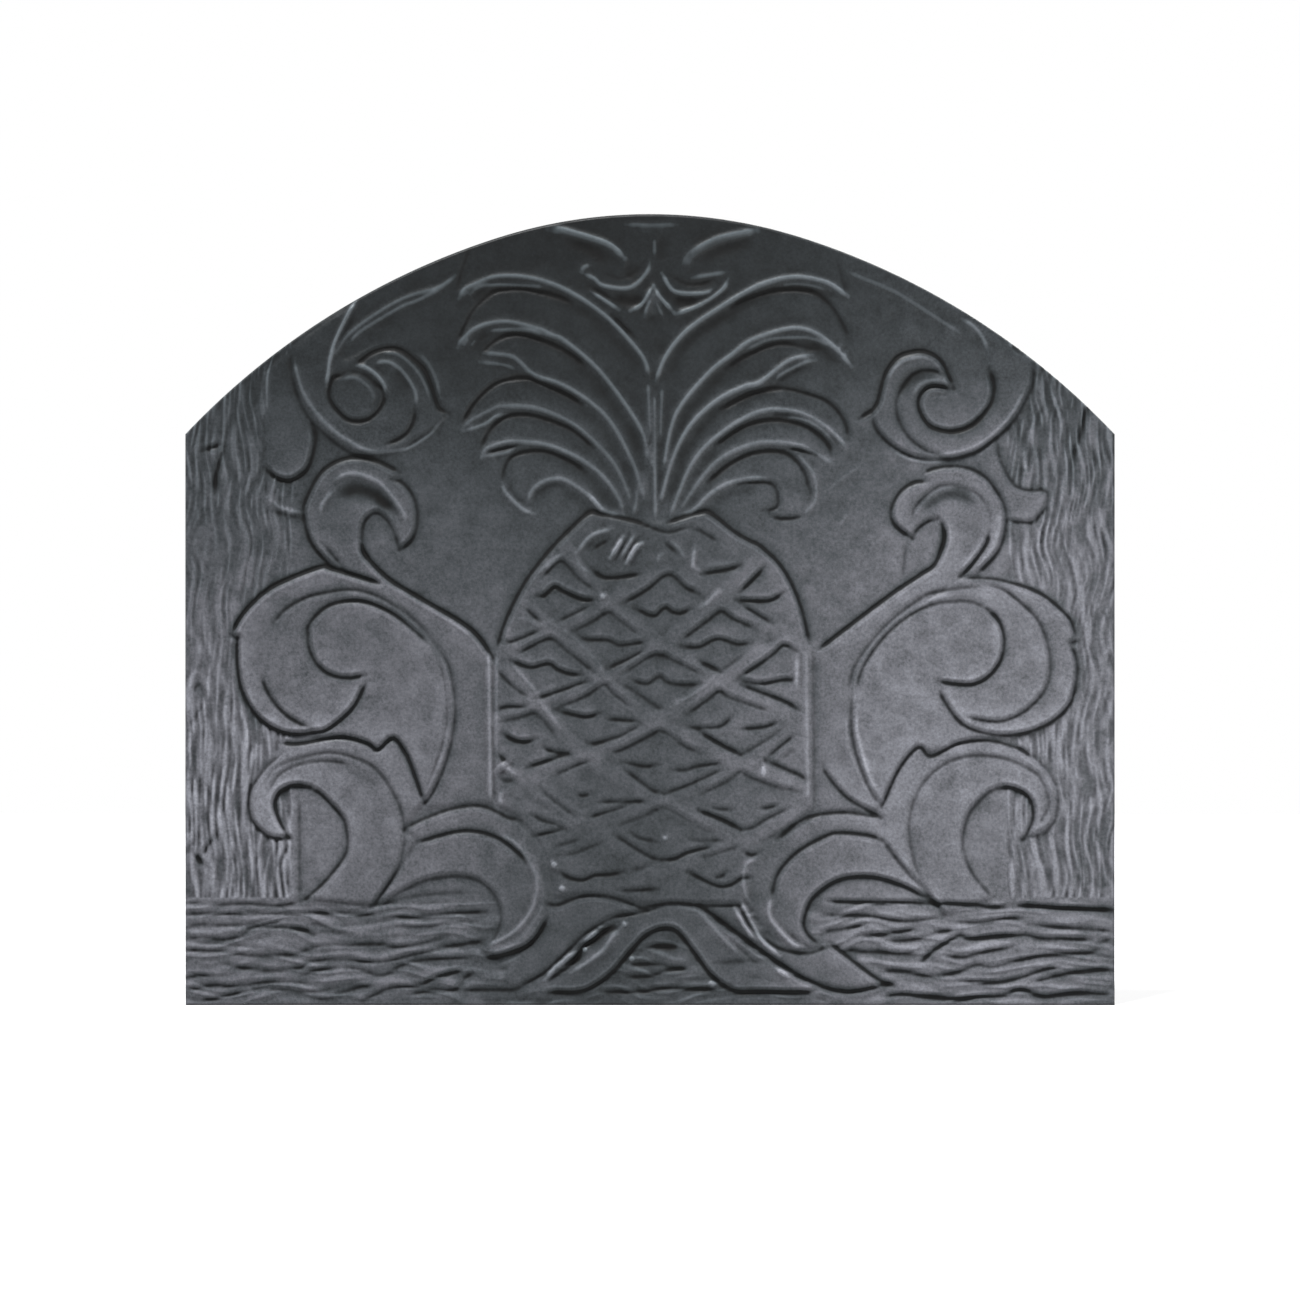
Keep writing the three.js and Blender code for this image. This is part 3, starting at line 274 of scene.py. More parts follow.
# The crown of leaves.
LEAF_CROWN = """
l 1.27 L -104.5,386 -102,390.5 -98,393 -85,398 -68.5,398 -51.5,393.5 -35.5,385 -20.5,373.5
    -7,358.5 -2.5,351.5 -0.5,343.5
r 1 = -98.5,389 -94,392 -86.5,393.5 -67,393 -57,392
g 1.1 = -104,362 -102.5,368.5 -96,380.5 -87,388.5 -81.5,391 -68,391.5 -51.5,387.5 -43,384
l 1.13 L -105,359.5 -102.5,364 -93,371 -78.5,373.5 -61.5,370 -54,366.5 -45.5,362.5 -26,345
    -5,315 -1,296.5
r 1 = -89,368 -82,369 -66,368.5 -57.5,365.5
g 1.18 = -92.5,356 -84.5,363 -73,367 -57.5,363 -43,355.5 -35.5,349
l 0.93 L -91,356.5 -77,355 -71.5,352 -62.5,344 -48.5,339.5 -33,330 -20.5,317.5 -8.5,294.5 -4,277
r 0.75 = -93,351.5 -80,350 -72,347
g 1.65 = -102,319 -95,330 -83.5,340 -69,343 -61.5,341 -46,334 -37.5,328.5
l 0.7 L -102.5,315 -98.5,319 -86.5,325.5 -79.5,327.5 -62.5,326.5 -45,319.5 -32,309.5 -19.5,296
    -12.5,281.5 -10.5,274
r 1 = -101.5,313.5 -90.5,317.5 -84.5,321.5 -78,323.5
g 1.26 = -92.5,304.5 -87.5,314 -79,321.5 -65,322.5 -47.5,317 -38.5,311.5 -31,304.5
l 0.88 L -92,299 -90,303.5 -84.5,306 -75.5,308 -57,306.5 -39.5,299.5 -26,289.5 -17,277
    -14.5,268.5
r 0.76 = -92,299.5 -79,302 -72.5,304.5
g 1.07 = -90,301.5 -84,303.5 -70,306.5
g 1.16 = -80.5,286.5 -79.5,293 -77,298 -72,301.5 -58,303 -43,297 -35.5,291.5
l 0.83 L -66.5,274.5 -65,280.5 -60.5,285 -54,287.5 -46,287 -33,278.5 -28.5,273.5 -23,269.5
    -14.5,268
g 0.32 = -64,274 -62,279 -57.5,282.5 -51.5,284.5 -45,282.5
r 1.59 = -33,278.5 -26.5,270.5
r 0.97 = -80.5,286 -79,280.5 -69.5,271 -63,268.5
g 0.32 = -78,287.5 -76,281.5 -72.5,276.5 -67,273
r 0.5 = -102.5,386.5 -98.5,390.5
r 0.5 = -99,386.5 -95.5,390
r 0.85 = -102.5,359.5 -98.5,365
r 0.6 = -98.5,359.5 -95,364.5
l 1.56 R 108,387.5 96.5,395 79.5,398 64,395 50,388.5 25.5,373 15,363.5 8,353.5 3,341
r 0.8 = 98,390.5 89.5,393 79.5,394 69.5,393
g 1.15 = 108.5,364 106,370.5 99,382 87.5,390 70.5,391 53,386.5 44.5,382
l 1.41 R 110,349 103,357.5 92,366.5 78,370 56.5,364 44.5,355.5 32.5,346 17,328 11,313.5 7.5,293
r 0.93 = 99,359.5 90.5,363.5 81.5,365 65,363.5 51.5,357.5
g 0.76 = 91.5,358 74,361.5 65,360.5 49.5,353.5 42,348
l 1.46 R 88.5,355.5 75.5,352 60,340.5 52.5,338.5 39.5,332.5 28.5,324 19.5,313.5 12.5,299
    7.5,282.5 5.5,274
r 1.16 = 90.5,352.5 84,351 72,345 67.5,340.5
g 1.3 = 108.5,309.5 107,317 103.5,323.5 98,329 91,332.5 73,337 55.5,334.5 39,326
l 1.1 R 107,304.5 103.5,309.5 93.5,318 81,324 64.5,325.5 51.5,321 38.5,312.5 28,303 20,290.5
    11,267.5
r 0.76 = 100,307.5 96,312.5 90,317 81.5,320.5 72.5,321
g 0.93 = 101.5,308 88,319 73.5,323 65,323
g 1.27 = 99,300 96.5,307.5 85,316.5 68,320 51.5,316.5 35.5,306
l 0.81 R 100,296 85,304.5 78.5,306.5 63,308 49,304.5 35.5,296.5 25.5,284.5 15.5,269.5
g 1.53 = 94.5,298 87.5,302 74,305
g 1.25 = 87,281 83.5,292.5 73.5,302 57.5,302 44,296 31.5,286
l 0.99 L 16.5,268.5 22.5,270 27,273.5 31,278 42,285 56.5,288 63,287.5
g 1.21 = 46,284.5 53,286 67,284.5 70,274.5 67,271 61.5,270.5
r 0.58 = 80.5,301.5 89.5,290 90.5,277 87.5,272 83.5,268
g 1.2 = 65,268 70.5,266 77.5,266 83.5,267.5
g 0.32 = 87.5,286.5 88,280 86.5,274
r 0.6 = 103,357.5 105.5,362.5
r 0.6 = 106,353.5 108.5,359
r 1.19 = 2.5,334.5 3,266
r 1 = -1,341 1,292
r 0.56 = -3.5,290 -3,275.5
r 0.88 = -7.5,283.5 -7.5,275.5 -9.5,267
r 1 = 6.5,338.5 5.5,308.5
r 0.35 = 9.5,275.5 6.5,266
g 1.09 = 1,314 -0.5,304
g 0.28 = 0,292 0,275.5
g 0.24 = 5,292 5,278
m 0.7 = 1,334.5 -0.5,300 -0.5,271
"""

# The outline of the fruit.
FRUIT_OUTLINE = """
e 1.24 L -1.5,263 -18,267 -26.5,268.5 -33,269.5 -42.5,261.5 -56,247.5 -68.5,231 -78.5,211.5
    -84,195
g 0.38 = -86.5,191 -86.5,152.5 -85.5,111.5
r 0.48 = -83.5,192.5 -84,150 -83,105
e 1.34 R 9.5,264 26.5,269.5 33,269 46,259 54.5,254 61,250.5 72.5,239 81.5,221 87.5,198
e 0.36 R 89.5,195 90,108.5
r 0.6 = 85,195 86,111.5
"""

# The straps and scales of the fruit.
FRUIT_SCALES = """
r 1 = -40,247.5 -32,256.5 -20.5,260.5
g 0.38 = -36.5,249 -26.5,255.5 -20.5,257
g 1.2 = -31.5,249 -22.5,254.5
r 0.53 = -40.5,246.5 -39,241.5 -36,238 -32,235.5
g 1.45 = -32,238.5 -27,234.5 -21,233.5 -5,235.5
r 2.42 = -21.5,244.5 -14.5,256
g 0.2 = -19,244 -11,256.5
r 1.51 = -16,244 -8,258
g 0.76 = -14.5,241.5 -8.5,252
r 2.89 = -13,241.5 -8,250 -4.5,252.5
g 1.01 = -6,262 -1,261.5 9.5,258.5 21.5,261.5
g 0.92 = 22.5,260.5 27.5,259 37.5,253
g 0.95 = 7.5,254 14.5,247
r 0.52 = 9.5,254 14.5,251 17.5,247 19.5,243
r 0.47 = 4,241 5,245.5 8.5,247.5
r 1.14 = 24.5,251 23.5,240 26.5,238
g 1.31 = 28,235.5 42.5,238 49.5,240.5
r 0.28 = 29.5,240.5 46,242.5
e 0.7 L -58.5,233.5 -49,242.5 -38.5,232.5 -30,226.5
r 1 = -58.5,237.5 -48.5,246.5
e 1.38 L -62,223.5 -58,223.5 -52,228.5 -48.5,226.5 -36.5,221.5 -29,221.5
g 1.2 = -68.5,217.5 -60,209.5
g 1.1 = -31.5,219 -50.5,209.5
g 1.25 = -80,198.5 -74.5,199 -60,205
r 0.3 = -75.5,209.5 -70,211.5 -60,207.5
e 0.74 L -72,192 -60,198.5 -53.5,200 -46,194 -30.5,181.5
r 0.31 = -49,206 -42,201.5 -29,188 -24.5,180.5
e 1.1 L -76,188 -65.5,184.5 -55.5,186.5 -51,183.5 -44.5,181 -37,180
g 1 = -84.5,184 -75,174.5 -66.5,168
r 0.55 = -75,186.5 -61.5,170.5
g 1.36 = -33,177.5 -39.5,175.5 -46,173 -62,167.5
e 0.69 L -43,203.5 -31,209.5 -23,214.5 -18,211 -6,202
e 0.83 L -39.5,202 -34.5,199.5 -25,199.5 -21,198.5 -16,196.5 -1.5,198.5
g 1.39 = -2.5,195 -8.5,191 -24,183.5
e 0.86 L -14,219.5 -1.5,227 10,235 19.5,228 26.5,224.5
e 1.04 L -9,217 -0.5,213 3.5,213 6.5,216 9,217 11.5,215 16.5,214 22.5,216.5
e 1.14 L 49.5,225.5 62.5,239
e 1.2 L 47,221 65,221 73,225.5
g 1.35 = 49.5,219 67,208.5
e 0.79 L 17.5,199.5 31,209.5 39,215 44.5,211.5 58,205.5
e 0.93 L 17,196 26.5,195.5 37,200 48,197 55.5,198
g 1.43 = 26.5,188 38.5,182
g 0.75 = 38.5,182 50,190.5
r 0.72 = 27,217 32,220.5 35.5,224.5 40,227
e 0.77 L -15,180.5 -1.5,189.5 5.5,191.5 11.5,189 28,180.5
e 0.78 L -11,177.5 -1.5,175.5 5,179.5 9,176.5 16,175 27,175
g 0.71 = -16,175.5 -9,172 3,163.5 8.5,161.5
r 0.41 = 11,163 25.5,171.5 32,176 35.5,181
e 1 L 49.5,179.5 67,191.5 73,196.5 79.5,193.5
e 1.03 L 48.5,177.5 60.5,175.5 72,177.5 79.5,177.5
g 1.37 = 50,175 72.5,166.5 81,161.5
e 0.67 L -52,161.5 -35.5,168.5 -25.5,175 -20.5,170.5 -10.5,162.5
e 1.16 L -50,160.5 -35.5,157.5 -27,159.5
g 1.18 = -24,156.5 -6,155
g 1.16 = -34.5,144 -30,143 -17,147 -5,153.5
g 1.29 = -84,161 -78.5,163 -66.5,163
e 0.61 L -82,154.5 -69.5,157.5 -63.5,159.5 -59.5,157 -51,146.5
r 0.65 = -60,166 -49,152
e 1.3 L -80.5,148.5 -76,145.5 -71.5,144 -66.5,144 -62.5,145.5
g 1.55 = -58.5,142 -54.5,139 -45,137.5
g 1.46 = -45,137.5 -67,130
g 0.99 = -83,137.5 -79.5,134 -75.5,132
r 0.65 = -80.5,131 -72,125.5
g 0.6 = -82,124 -78,122.5 -74,123
r 0.24 = -78,113 -78.5,116.5 -76,120 -72.5,121
r 1 = -80.5,107.5 -81.5,113 -80.5,118.5
e 0.69 L 20.5,158.5 32.5,167.5 38,171.5 44,168 65,160.5
g 1.15 = 20,152.5 26.5,151.5 38.5,152.5 45,158
g 1.24 = 49.5,151 62,152 70.5,155
g 1.64 = 26.5,150 38.5,142.5 49.5,137
g 0.66 = 49.5,137 63,144.5 72.5,151.5
e 0.66 L -23,138 -15.5,139.5 -1,146.5 6.5,149.5 20,141 27.5,138
g 1.08 = -15.5,133 -2.5,130.5 4.5,132
g 0.96 = 11.5,129 19,128.5 25.5,130.5 40,132.5
g 1.04 = -14,129 -2.5,120 3,116.5 7.5,115.5
g 1.19 = 7.5,115.5 21,120.5 39.5,129
e 0.91 R 63,135 79,148
g 1.11 = 63,134 81,126 86.5,122.5
g 0.56 = 73,134.5 76.5,138.5 79.5,137
r 1.63 = 62,131.5 62,125
g 0.97 = -53.5,125 -36.5,132.5 -31,133
g 1.11 = -40,115.5 -37,114.5 -32.5,115.5
g 1.24 = -27.5,111 -1.5,111.5
g 1.17 = -34,102.5 -11,109.5
g 0.73 = -60.5,119.5 -55,114 -40,102.5
g 0.2 = -67.5,113 -60.5,110 -54,105.5
g 1.08 = -65,104.5 -58.5,101 -52,99 -46,96.5
g 1.27 = -46,96.5 -64,92.5
e 0.56 L 28.5,115.5 43,123 49.5,127.5 55,124.5 70.5,119 82,116.5
g 0.94 = 31,108.5 38,107 45.5,107
g 1.1 = 60,108 64.5,108 70,109.5
g 1.85 = 26.5,106.5 39,101.5 49.5,96
g 0.89 = 49.5,96 56,97 63,101.5 76.5,108
g 0.48 = 63,90.5 81.5,101.5
g 0.84 = 69,90.5 76,94.5 91,104
e 0.45 L -18.5,97.5 -2,104 6.5,108 13.5,105 29,96.5 37,93.5
g 0.98 = -10.5,94.5 -6,91.5 4.5,89
g 0.78 = 21.5,91 28,89.5 34.5,90 40,89.5
r 1 = 7.5,90.5 9,92.5
g 1.12 = -20,93.5 -1,81.5 6.5,79.5
g 1.52 = 6.5,79.5 13.5,80 21,83.5 34.5,87
g 0.7 = -49.5,82 -42,83 -26,89
g 0.69 = -52,87 -44,89 -37,91.5
g 0.81 = 27,80 49.5,87
g 1.08 = 51,84.5 55.5,82 60,83.5
g 1.4 = 20.5,73 33.5,66.5 40,65 45.5,66.5 50,69.5 55.5,70
g 1.06 = 33.5,70 38,70 42,73
g 1.34 = -49.5,73 -43.5,69.5 -36.5,68.5 -30,71 -22,71.5 -14.5,73
g 0.53 = -11,74 2.5,77
g 1.07 = -18,62.5 4.5,63.5
r 1.8 = -53.5,78.5 -51.5,75.5
r 1.8 = -48.5,65.5 -47.5,62.5
r 1.2 = -88,193.5 -87,111.5
r 0.35 = -84,193.5 -84,139
b 1 = -53.5,258.5 -46,250 -26,221 6.5,196.5 37,177.5 58,164.5 85,154.5
b 1 = -73.5,222 -40,192.5 -27.5,178.5 2.5,154.5 27,142.5 70.5,122.5 87,117
b 1 = -81,187 -49,150 -33,135 5,111.5 27,101 51.5,91
b 0.8 = -80.5,135 -68.5,124 -54,112.5 -38.5,102.5 -16.5,87 5,73.5
b 0.8 = 19.5,236.5 37,223 56,210.5 85,199
b 0.9 = -80.5,196 -68,200 -40,213.5 -9.5,229 3,237
b 1 = -81,160 -63,166.5 -45,172 -27.5,178.5 6.5,196.5 21.5,209.5 51.5,235.5 63,248.5
b 1 = -66,124 -33,135 -15.5,145 20,166 56.5,189.5 85,201.5
b 0.8 = -60.5,94.5 -38.5,102.5 -16.5,109 5,112.5 28,121 51.5,131.5 86,154.5
b 0.8 = -27.5,61 -11,66 5,73 51.5,91 69,99.5 85,110.5
r 1.23 = 80,191 80,173
r 0.79 = 58,81 52.5,77 51,69 52,61 55.5,54.5
m 1.2 = -82,132.5 -79,129
r 1.2 = -27,222.5 -24.5,224.5
"""

# The leaves at the foot of the fruit.
BASE_LEAVES = """
e 0.83 R -57.5,56 -50.5,55 -44,57.5 -35.5,60 -25.5,60 -16.5,58 -1.5,52
g 0.99 = -71.5,10.5 -61.5,15.5 -52,22.5 -36,38.5 -19,48.5 -6,50.5 6.5,54
g 0.95 = -57.5,13 -40.5,24 -24.5,38.5 -15.5,44
e 1.48 L -55,7 -36,8 -21,17.5 -10,30 0,39.5 12.5,41.5 22.5,30.5 33.5,16 46,8 60,7.5 90,7
g 1.07 = -6,53 11.5,56 30.5,54.5 49.5,54.5
e 1.4 R 27,54.5 35,49 44.5,41.5 71.5,22.5 88,13 104.5,8 114.5,8.5 132.5,12.5
g 0.68 = 33.5,45 58,23.5
g 1.13 = 49,54.5 56,42.5 68.5,32 84.5,28.5 97.5,31.5
e 1.3 R 98,34.5 123,15.5 134,10.5
r 1.58 = -57,14 -51.5,21 -40.5,29.5
r 1.58 = -37.5,34 -33,37 -27.5,42
g 3.02 = -46,22.5 -40.5,25.5 -36,32 -20,44
r 2 = -37,30 -34.5,31.5
r 1.6 = -15,44 -13,45
r 1.02 = -43,18 -33,24.5 -25.5,31 -20,38.5 -16.5,42
r 1.6 = -11,24.5 -9,26.5
s 0.9 = -0.5,30 7.5,32 16,31
r 0.56 = 28,49.5 49,27.5
r 1.81 = 49,58 60,37.5 70.5,27
r 2 = 46.5,53 52,43 57.5,35.5
r 1.6 = 32.5,13.5 35.5,10.5
r 1.93 = 69.5,20 75,16
r 0.8 = -82,93.5 -74,89 -67,80.5 -62.5,71 -62,61 -65.5,51 -72,42.5 -80.5,36.5 -89,33
m 0.5 = 35.5,44 52,30
"""

# The grain of the ground band.
GROUND_GRAIN = """
g 0.77 = -253.5,55.5 -238,55 -219,55.5 -202.5,54.5 -191.5,57
g 0.57 = -192.5,58 -180.5,57.5 -153,55 -131.5,59 -115,61 -99.5,61.5
g 1.11 = -253.5,49.5 -224,50.5 -208,50 -175,50.5 -158.5,49.5 -148,50.5
g 1.2 = -139.5,49 -128.5,48.5 -104,50.5 -90,51
g 0.57 = -253.5,42 -246,44 -223,43.5 -212,45.5 -199.5,44.5
g 0.4 = -197,41.5 -188.5,41.5 -183.5,44.5 -172.5,43 -163,44
g 1.34 = -222.5,38.5 -219.5,41.5 -211.5,43 -191.5,41.5 -184,39
g 0.38 = -139.5,44 -128.5,43 -115,43.5 -92,46.5
g 1.06 = -253.5,36.5 -243.5,37 -232.5,36 -222.5,37.5
g 0.36 = -186,39 -176,40 -167,39 -160,36.5 -152,35.5
g 0.6 = -253.5,34 -238,33.5 -212,31.5
g 0.74 = -253.5,30 -245,30.5 -226.5,28.5 -216,27 -194,28 -186,31 -175,33 -150.5,33.5 -139.5,32
    -128.5,33 -111,37.5
g 0.95 = -234,22.5 -213.5,19.5 -193,20 -186,23.5 -167,26 -156,24 -145,24 -115,31 -89,35.5
g 0.96 = -142.5,18.5 -134,22.5 -123,25 -98.5,26.5
g 1.08 = -253.5,15.5 -246,16.5 -239.5,16
g 0.99 = -190,16.5 -182.5,19 -172.5,20
g 0.7 = -167,21 -157.5,19.5 -149,16.5 -138,18.5
g 0.88 = -253.5,8 -238,11 -229.5,10.5 -211.5,13 -187,12.5
g 0.53 = -221,9 -199.5,8.5 -186,7 -157.5,13
g 0.96 = -175,5 -158.5,10 -151.5,11
g 1.28 = -157.5,2.5 -142.5,9 -126,11 -117.5,15 -101,20
g 0.91 = -131.5,6 -120.5,8 -109.5,8 -104,10.5 -101,15 -96,18.5
g 0.86 = -101,8.5 -77,8.5 -69,10.5
g 1.11 = -253.5,3.5 -243.5,2.5 -221,8
g 0.28 = -212,3.5 -197,4 -180.5,3 -164,4.5
g 0.4 = -90.5,2.5 -51.5,2.5
g 1.69 = 97.5,56.5 166.5,55.5 192.5,53.5
g 2.6 = 202,54.5 252.5,52
g 0.94 = 95.5,49 117,49 139,46 161,48.5
g 0.89 = 93.5,40 111.5,43 117.5,43
g 1.36 = 113.5,37.5 125.5,38.5 146,42
g 1.62 = 148.5,23.5 152.5,28 167.5,37.5 177,36.5 202,38.5 215.5,36.5 240,35.5
g 1.09 = 106,30 147,28
g 1.35 = 170,45 179,45 194,47.5 203,47.5
g 0.99 = 202,44 229,42 252.5,40.5
g 0.88 = 129.5,35.5 143,36 166.5,42
g 1.11 = 126.5,19 139,18.5 150,16.5 161,16.5 170,19 179,22 188,21 210,26.5 223.5,28 237.5,28.5
    247,31
g 0.94 = 162.5,27 172,26.5 180,28.5 203,33.5
g 1.14 = 170,13 193.5,13 215.5,19.5 224.5,21
g 1.25 = 209,13 229,17.5 252.5,20
g 1.74 = 127.5,5 139,6 166.5,3.5 180,5 193.5,6 202.5,8.5 215.5,5 232,6.5 252.5,6
g 0.72 = 241,32 252.5,37
g 0.32 = 119,3.5 131,10.5
g 1.4 = -5,30.5 2.5,32 17.5,32
g 1.13 = -11,22 2.5,22.5 11.5,20.5 21.5,19.5
g 1.14 = -12.5,15.5 -0.5,16 9.5,19 21.5,21
g 1.6 = -27.5,7.5 -6,7.5 10.5,9.5 35.5,8.5
g 0.36 = 35.5,9 51.5,7.5 87,6
r 0.43 = -9,26 -3,27 1,24.5
g 0.5 = 35.5,23.5 58,24 68,23.5
g 0.24 = 51.5,16 62.5,14.5 73.5,10.5 84.5,8
r 0.36 = -30.5,26 -24.5,29.5 -14.5,42
"""

# Knots and cuts in the upright grain.
SIDE_MARKS = """
r 0.28 = -252.5,173 -250.5,179 -246.5,182 -243.5,178.5 -241.5,172 -243,164 -250.5,148.5
g 0.58 = -250.5,170.5 -247,175 -244.5,172 -244.5,164.5 -251.5,151
g 1.6 = -244.5,303 -234,306.5
g 1.8 = -233,305 -237,289.5 -238,280
g 1.6 = -250,83.5 -242.5,75.5
g 1.26 = -237.5,93 -241.5,87 -245,80
g 0.36 = 224.5,327.5 244,255
g 1.42 = 239,330 233,303
g 1.21 = 231.5,305.5 231.5,292 233.5,281
"""

# Closed raised forms: a name and a height, then the smooth runs of its outline.
RAISED_FORMS = """
upper_left_scroll 1.6
  -196,357 -195.5,344.5 -193,333 -183,316.5 -166,304 -149.5,301 -133.5,305 -118,314.5 -110,324
  -110,324 -116.5,329.5 -121.5,344 -131.5,355.5 -144,359.5 -155.5,357 -168,351.5
  -168,351.5 -170,361 -166,372 -159.5,384.5
  -159.5,384.5 -175,374.5 -190,363 -196,357
upper_right_scroll 1.6
  115,321.5 123.5,328 127.5,341.5 132,351 142.5,357.5 155.5,355.5 164,344.5 166.5,337.5
  166.5,337.5 152.5,338.5 147,328 154,316.5 169.5,314.5 182.5,323 188.5,336 185.5,348
  185.5,348 183,364.5 171,376
  171,376 210.5,349.5
  210.5,349.5 205.5,329 191,312 172,300.5 151.5,298.5 134,305 123,317 121.5,324
  121.5,324 115,321.5
left_side_lobe 1
  -209.5,294 -206.5,290.5 -195,287.5 -185,296.5 -182.5,310 -185.5,320
  -185.5,320 -193,333 -195.5,344.5 -196,357
  -196,357 -206.5,348 -209.5,330.5 -209.5,294
right_side_lobe 1
  190,310 194,293.5 202.5,283 218,281.5
  218,281.5 217.5,273.5 207.5,264 195,265
  195,265 193.5,276 177.5,298
  177.5,298 190,310
second_left_scroll 1.4
  -136,292 -151,298.5 -165.5,299.5 -179,292 -188,277 -187.5,259 -178.5,244.5 -166,235.5
  -166,235.5 -141.5,220.5 -118.5,200 -106.5,171 -109,139.5 -123.5,108
  -123.5,108 -86,111
  -86,111 -85,190.5
  -85,190.5 -94,202.5 -114.5,217 -134,228 -149,239.5 -157,251.5 -155.5,264 -149.5,269.5 -143,265
    -136.5,249
  -136.5,249 -128.5,257.5 -126.5,270.5 -131.5,283 -141,288
  -141,288 -136,292
second_right_scroll 1.4
  148.5,290.5 161,295 177.5,293 189.5,282 195.5,265 191,249.5 179,236
  179,236 144.5,215 121.5,193.5 110.5,161.5 112.5,138.5 126.5,108
  126.5,108 92,105
  92,105 91,194
  91,194 138,229.5 154.5,240.5 160.5,255.5 157.5,266.5
  157.5,266.5 151.5,264.5 143,255.5
  143,255.5 132.5,264.5 131.5,270.5 138.5,283 153,287
  153,287 148.5,290.5
big_left_scroll 2.3
  -144.5,229.5 -164,236 -180,240 -200,232.5 -219,218 -228.5,203
  -228.5,203 -224.5,199.5
  -224.5,199.5 -225,183.5 -219.5,164.5 -206.5,152 -191,148.5 -179,147
  -179,147 -166.5,147.5 -154,144 -148.5,140 -141.5,146
  -141.5,146 -132,136.5 -124,111
  -124,111 -112.5,129 -106,161 -113,192 -133.5,214.5 -144.5,229.5
big_right_scroll 2.3
  170.5,234.5 191,233 213,226 227,214.5 234,199.5
  234,199.5 230.5,198.5
  230.5,198.5 234,180.5 225,159 211,150.5 194,147 180,146.5
  180,146.5 169.5,144 160.5,139.5 150,138.5 147,141.5
  147,141.5 136.5,129.5 126.5,108.5
  126.5,108.5 112.5,138.5 110.5,161.5 116,184 136.5,210 170.5,234.5
fourth_left_scroll 1.9
  -201.5,143.5 -180,145.5 -161,146 -148.5,139.5
  -148.5,139.5 -141.5,145.5
  -141.5,145.5 -132,136.5 -123.5,111.5
  -123.5,111.5 -134.5,96.5 -128,90.5
  -128,90.5 -134.5,78 -151.5,55
  -151.5,55 -190,57
  -190,57 -172,74 -165,88 -168,103.5 -179,115.5 -192.5,120.5 -202,116.5 -203,104 -196,91.5
  -196,91.5 -207.5,92.5 -217.5,101.5 -219,109 -215.5,122.5 -201.5,138.5
  -201.5,138.5 -201.5,143.5
fourth_right_scroll 1.9
  126.5,107.5 136.5,129.5 147,141
  147,141 154,136.5
  154,136.5 169,143.5 186.5,145 202.5,140.5
  202.5,140.5 220,125 223.5,111 219,98 203.5,91
  203.5,91 209,102.5 206.5,114.5 190,119 175,105 171.5,90.5 176,74 188,59.5
  188,59.5 160.5,50.5
  160.5,50.5 144.5,68 126.5,91
  126.5,91 126.5,107.5
fifth_left_scroll 1.7
  -134.5,96.5 -118,104.5 -98.5,110 -77.5,103.5 -57.5,85 -53.5,60.5 -59.5,40.5 -77.5,28 -92.5,30
  -92.5,30 -82,43.5 -83,56.5 -92.5,68 -109,71.5 -128.5,66.5 -148.5,55
  -148.5,55 -127.5,91
  -127.5,91 -134.5,96.5
fifth_right_scroll 1.7
  70,92.5 82.5,101.5 98.5,106 125.5,103.5
  125.5,103.5 126.5,91
  126.5,91 138,76 158.5,55
  158.5,55 130.5,68.5 112.5,70.5 96,65.5 86.5,54 85,42 94,33
  94,33 77.5,32 64,42.5 55.5,57.5 58.5,76.5 70,92.5
left_base_leaf 1.2
  -57.5,56.5 -35,60.5 -8.5,55.5 49.5,55
  49.5,55 56.5,43 76.5,30 98,33
  98,33 134.5,11
  134.5,11 114.5,9 88.5,13.5 63,29 35.5,49.5 12,55 -18.5,49 -35.5,39 -52,23 -71,10.5
  -71,10.5 -79,16.5 -59.5,40.5 -57.5,56.5
centre_base_leaf 0.9
  -54.5,7.5 -35.5,8.5 -21,18 -5,36 6.5,42.5 17.5,37.5 34,16.5 60,8
  60,8 88.5,8.5 63,24 35.5,45.5 12,53.5 -13,48 -30,36 -54.5,7.5
pineapple 2.2
  -83.5,195.5 -73.5,222 -62.5,240 -42,262 -33,270
  -33,270 -1,263.5
  -1,263.5 10,264.5
  10,264.5 18.5,267.5 33.5,269.5
  33.5,269.5 46.5,259.5 67,246 77.5,231.5 85,210.5 89,195.5
  89,195.5 90,109
  90,109 76.5,96 63,76.5 53.5,56.5
  53.5,56.5 -8.5,56 -35,60.5 -51.5,58.5
  -51.5,58.5 -57.5,82 -70.5,101.5 -83,110.5
  -83,110.5 -83.5,195.5
"""

RELIEF = (
    UPPER_LEFT_SCROLL,
    LEFT_SCROLLS,
    UPPER_RIGHT_SCROLL,
    RIGHT_SCROLLS,
    TOP_CURLS,
    LEAF_CROWN,
    FRUIT_OUTLINE,
    FRUIT_SCALES,
    BASE_LEAVES,
    GROUND_GRAIN,
    SIDE_MARKS,
)

# ---------------------------------------------------------------- lines and their sections

# Heights, widths and places across a line, in millimetres.
GROOVE_DEPTH, GROOVE_WIDTH = 0.6, 1.4
LIP_HEIGHT, LIP_PLACE, LIP_WIDTH = 0.05, 3.0, 1.3
RIDGE_HEIGHT, RIDGE_WIDTH = 0.6, 1.5
BAND_HEIGHT, BAND_HALF_WIDTH, BAND_SOFTNESS = 0.42, 2.6, 0.5
STRAP_HEIGHT, STRAP_HALF_WIDTH, STRAP_SOFTNESS = 0.24, 3.9, 0.45
BOW_HEIGHT, BOW_WIDTH = 0.9, 4.0
EDGE_DEPTH, EDGE_PLACE, EDGE_WIDTH, EDGE_SOFTNESS = 0.8, 0.2, 1.4, 0.9
EDGE_RISE, EDGE_RISE_REACH = 0.22, 7.0
EDGE_FALL, EDGE_FALL_REACH = 0.2, 5.0
